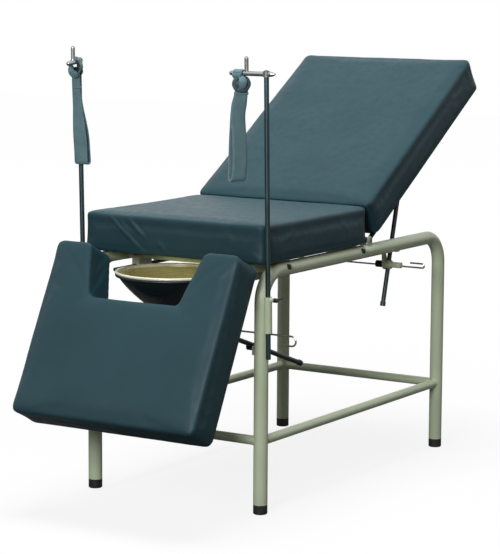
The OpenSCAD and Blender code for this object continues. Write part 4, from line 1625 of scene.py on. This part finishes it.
@dataclass(frozen=True)
class SoftBox:
    """A square studio lamp.

    Attributes:
        size: The length of its side.
        power: Its power in watts.
        mirrored: Whether glossy pieces reflect it.
    """

    name: str
    place: Triple
    aim: Triple
    size: float
    power: float
    mirrored: bool = True

    def build(self) -> None:
        """Makes the lamp."""
        data = bpy.data.lights.new(self.name, "AREA")
        data.size = self.size
        data.energy = self.power
        lamp = bpy.data.objects.new(self.name, data)
        bpy.context.scene.collection.objects.link(lamp)
        lamp.location = self.place
        way = Vector(self.aim) - Vector(self.place)
        lamp.rotation_euler = way.to_track_quat("-Z", "Y").to_euler()
        lamp.visible_glossy = self.mirrored


@dataclass(frozen=True)
class Studio:
    """A white floor and background under soft lamps.

    Attributes:
        ambient: The world's light on the pieces.
        sky: What glossy pieces reflect, from the horizon up to overhead.
        sky_heights: The heights of those two on a sphere of radius 1.
        glow: The floor's own brightness, near and far.
        glow_reach: The distances of near and far.
        floor_colour: How much of the lamps' light the floor gives back.
        floor_half: Half the floor's side.
    """

    ambient: float = 0.17
    sky: Span = (0.46, 1.10)
    sky_heights: Span = (-0.05, 0.45)
    glow: Span = (0.87, 0.97)
    glow_reach: Span = (1.0, 5.0)
    floor_colour: float = 0.10
    floor_half: float = 14.0
    lamps: tuple[SoftBox, ...] = (
        SoftBox("overhead", (-0.2, 0.25, 6.0), (0, 0.1, 0.6), 2.6, 365.0, False),
        SoftBox("by_camera", (1.35, -4.8, 2.2), (0, -0.2, 0.6), 1.4, 125.0),
    )

    def build(self) -> None:
        """Makes the floor, the world and the lamps."""
        self._world()
        self._floor()
        for lamp in self.lamps:
            lamp.build()
        view = bpy.context.scene.view_settings
        view.view_transform = "Standard"

    def _world(self) -> None:
        """A plain world: white to the camera, and brighter above in reflections."""
        world = bpy.data.worlds.new("studio")
        world.use_nodes = True
        tree = Tree(world.node_tree)
        place = tree.add("ShaderNodeTexCoord").outputs["Generated"]
        height = tree.add("ShaderNodeSeparateXYZ", Vector=place).outputs["Z"]
        sky = tree.spread(height, self.sky, self.sky_heights)
        rays = tree.add("ShaderNodeLightPath").outputs
        strength = tree.mix(rays["Is Glossy Ray"], self.ambient, sky, "FLOAT")
        for ray in ("Is Transmission Ray", "Is Camera Ray"):
            strength = tree.mix(rays[ray], strength, 1.0, "FLOAT")
        background = world.node_tree.nodes["Background"]
        tree.join(background.inputs["Color"], (1, 1, 1))
        tree.join(background.inputs["Strength"], strength)
        bpy.context.scene.world = world

    def _floor(self) -> None:
        """A floor that looks white and still keeps a faint shadow."""
        half = self.floor_half
        corners = [(-half, -half, 0), (half, -half, 0), (half, half, 0), (-half, half, 0)]
        floor = mesh_piece("floor", corners, [[0, 1, 2, 3]], smooth=False)
        material = bpy.data.materials.new("floor_white")
        material.use_nodes = True
        material.node_tree.nodes.clear()
        tree = Tree(material.node_tree)
        place = tree.add("ShaderNodeTexCoord").outputs["Object"]
        reach = tree.compute("LENGTH", place, kind="ShaderNodeVectorMath")
        level = tree.spread(reach, self.glow, self.glow_reach)
        seen = tree.add("ShaderNodeLightPath").outputs["Is Camera Ray"]
        own = tree.compute("MULTIPLY", seen, level)
        glow = tree.add("ShaderNodeEmission", Strength=own)
        diffuse = tree.add("ShaderNodeBsdfDiffuse", Color=(self.floor_colour,) * 3)
        total = tree.add("ShaderNodeAddShader")
        tree.join(total.inputs[0], diffuse.outputs[0])
        tree.join(total.inputs[1], glow.outputs[0])
        tree.add("ShaderNodeOutputMaterial", Surface=total.outputs[0])
        floor.data.materials.append(material)
        floor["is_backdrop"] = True


def as_lists(bounds: object) -> object:
    """Turns nested boxes, tuples and vectors into plain lists of numbers."""
    if isinstance(bounds, dict):
        return {key: as_lists(value) for key, value in bounds.items()}
    if hasattr(bounds, "__len__") and not isinstance(bounds, str):
        return [as_lists(value) for value in bounds]
    return float(bounds)


def main() -> None:
    """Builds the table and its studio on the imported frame."""
    logging.basicConfig(level=logging.INFO, format="%(message)s")
    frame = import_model()
    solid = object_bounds()
    table = Table()
    Camera().build(table)
    Studio().build()
    table.build(frame)
    sizes = {"cad": as_lists(solid), "visual": as_lists(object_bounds())}


if __name__ == "__main__":
    main()
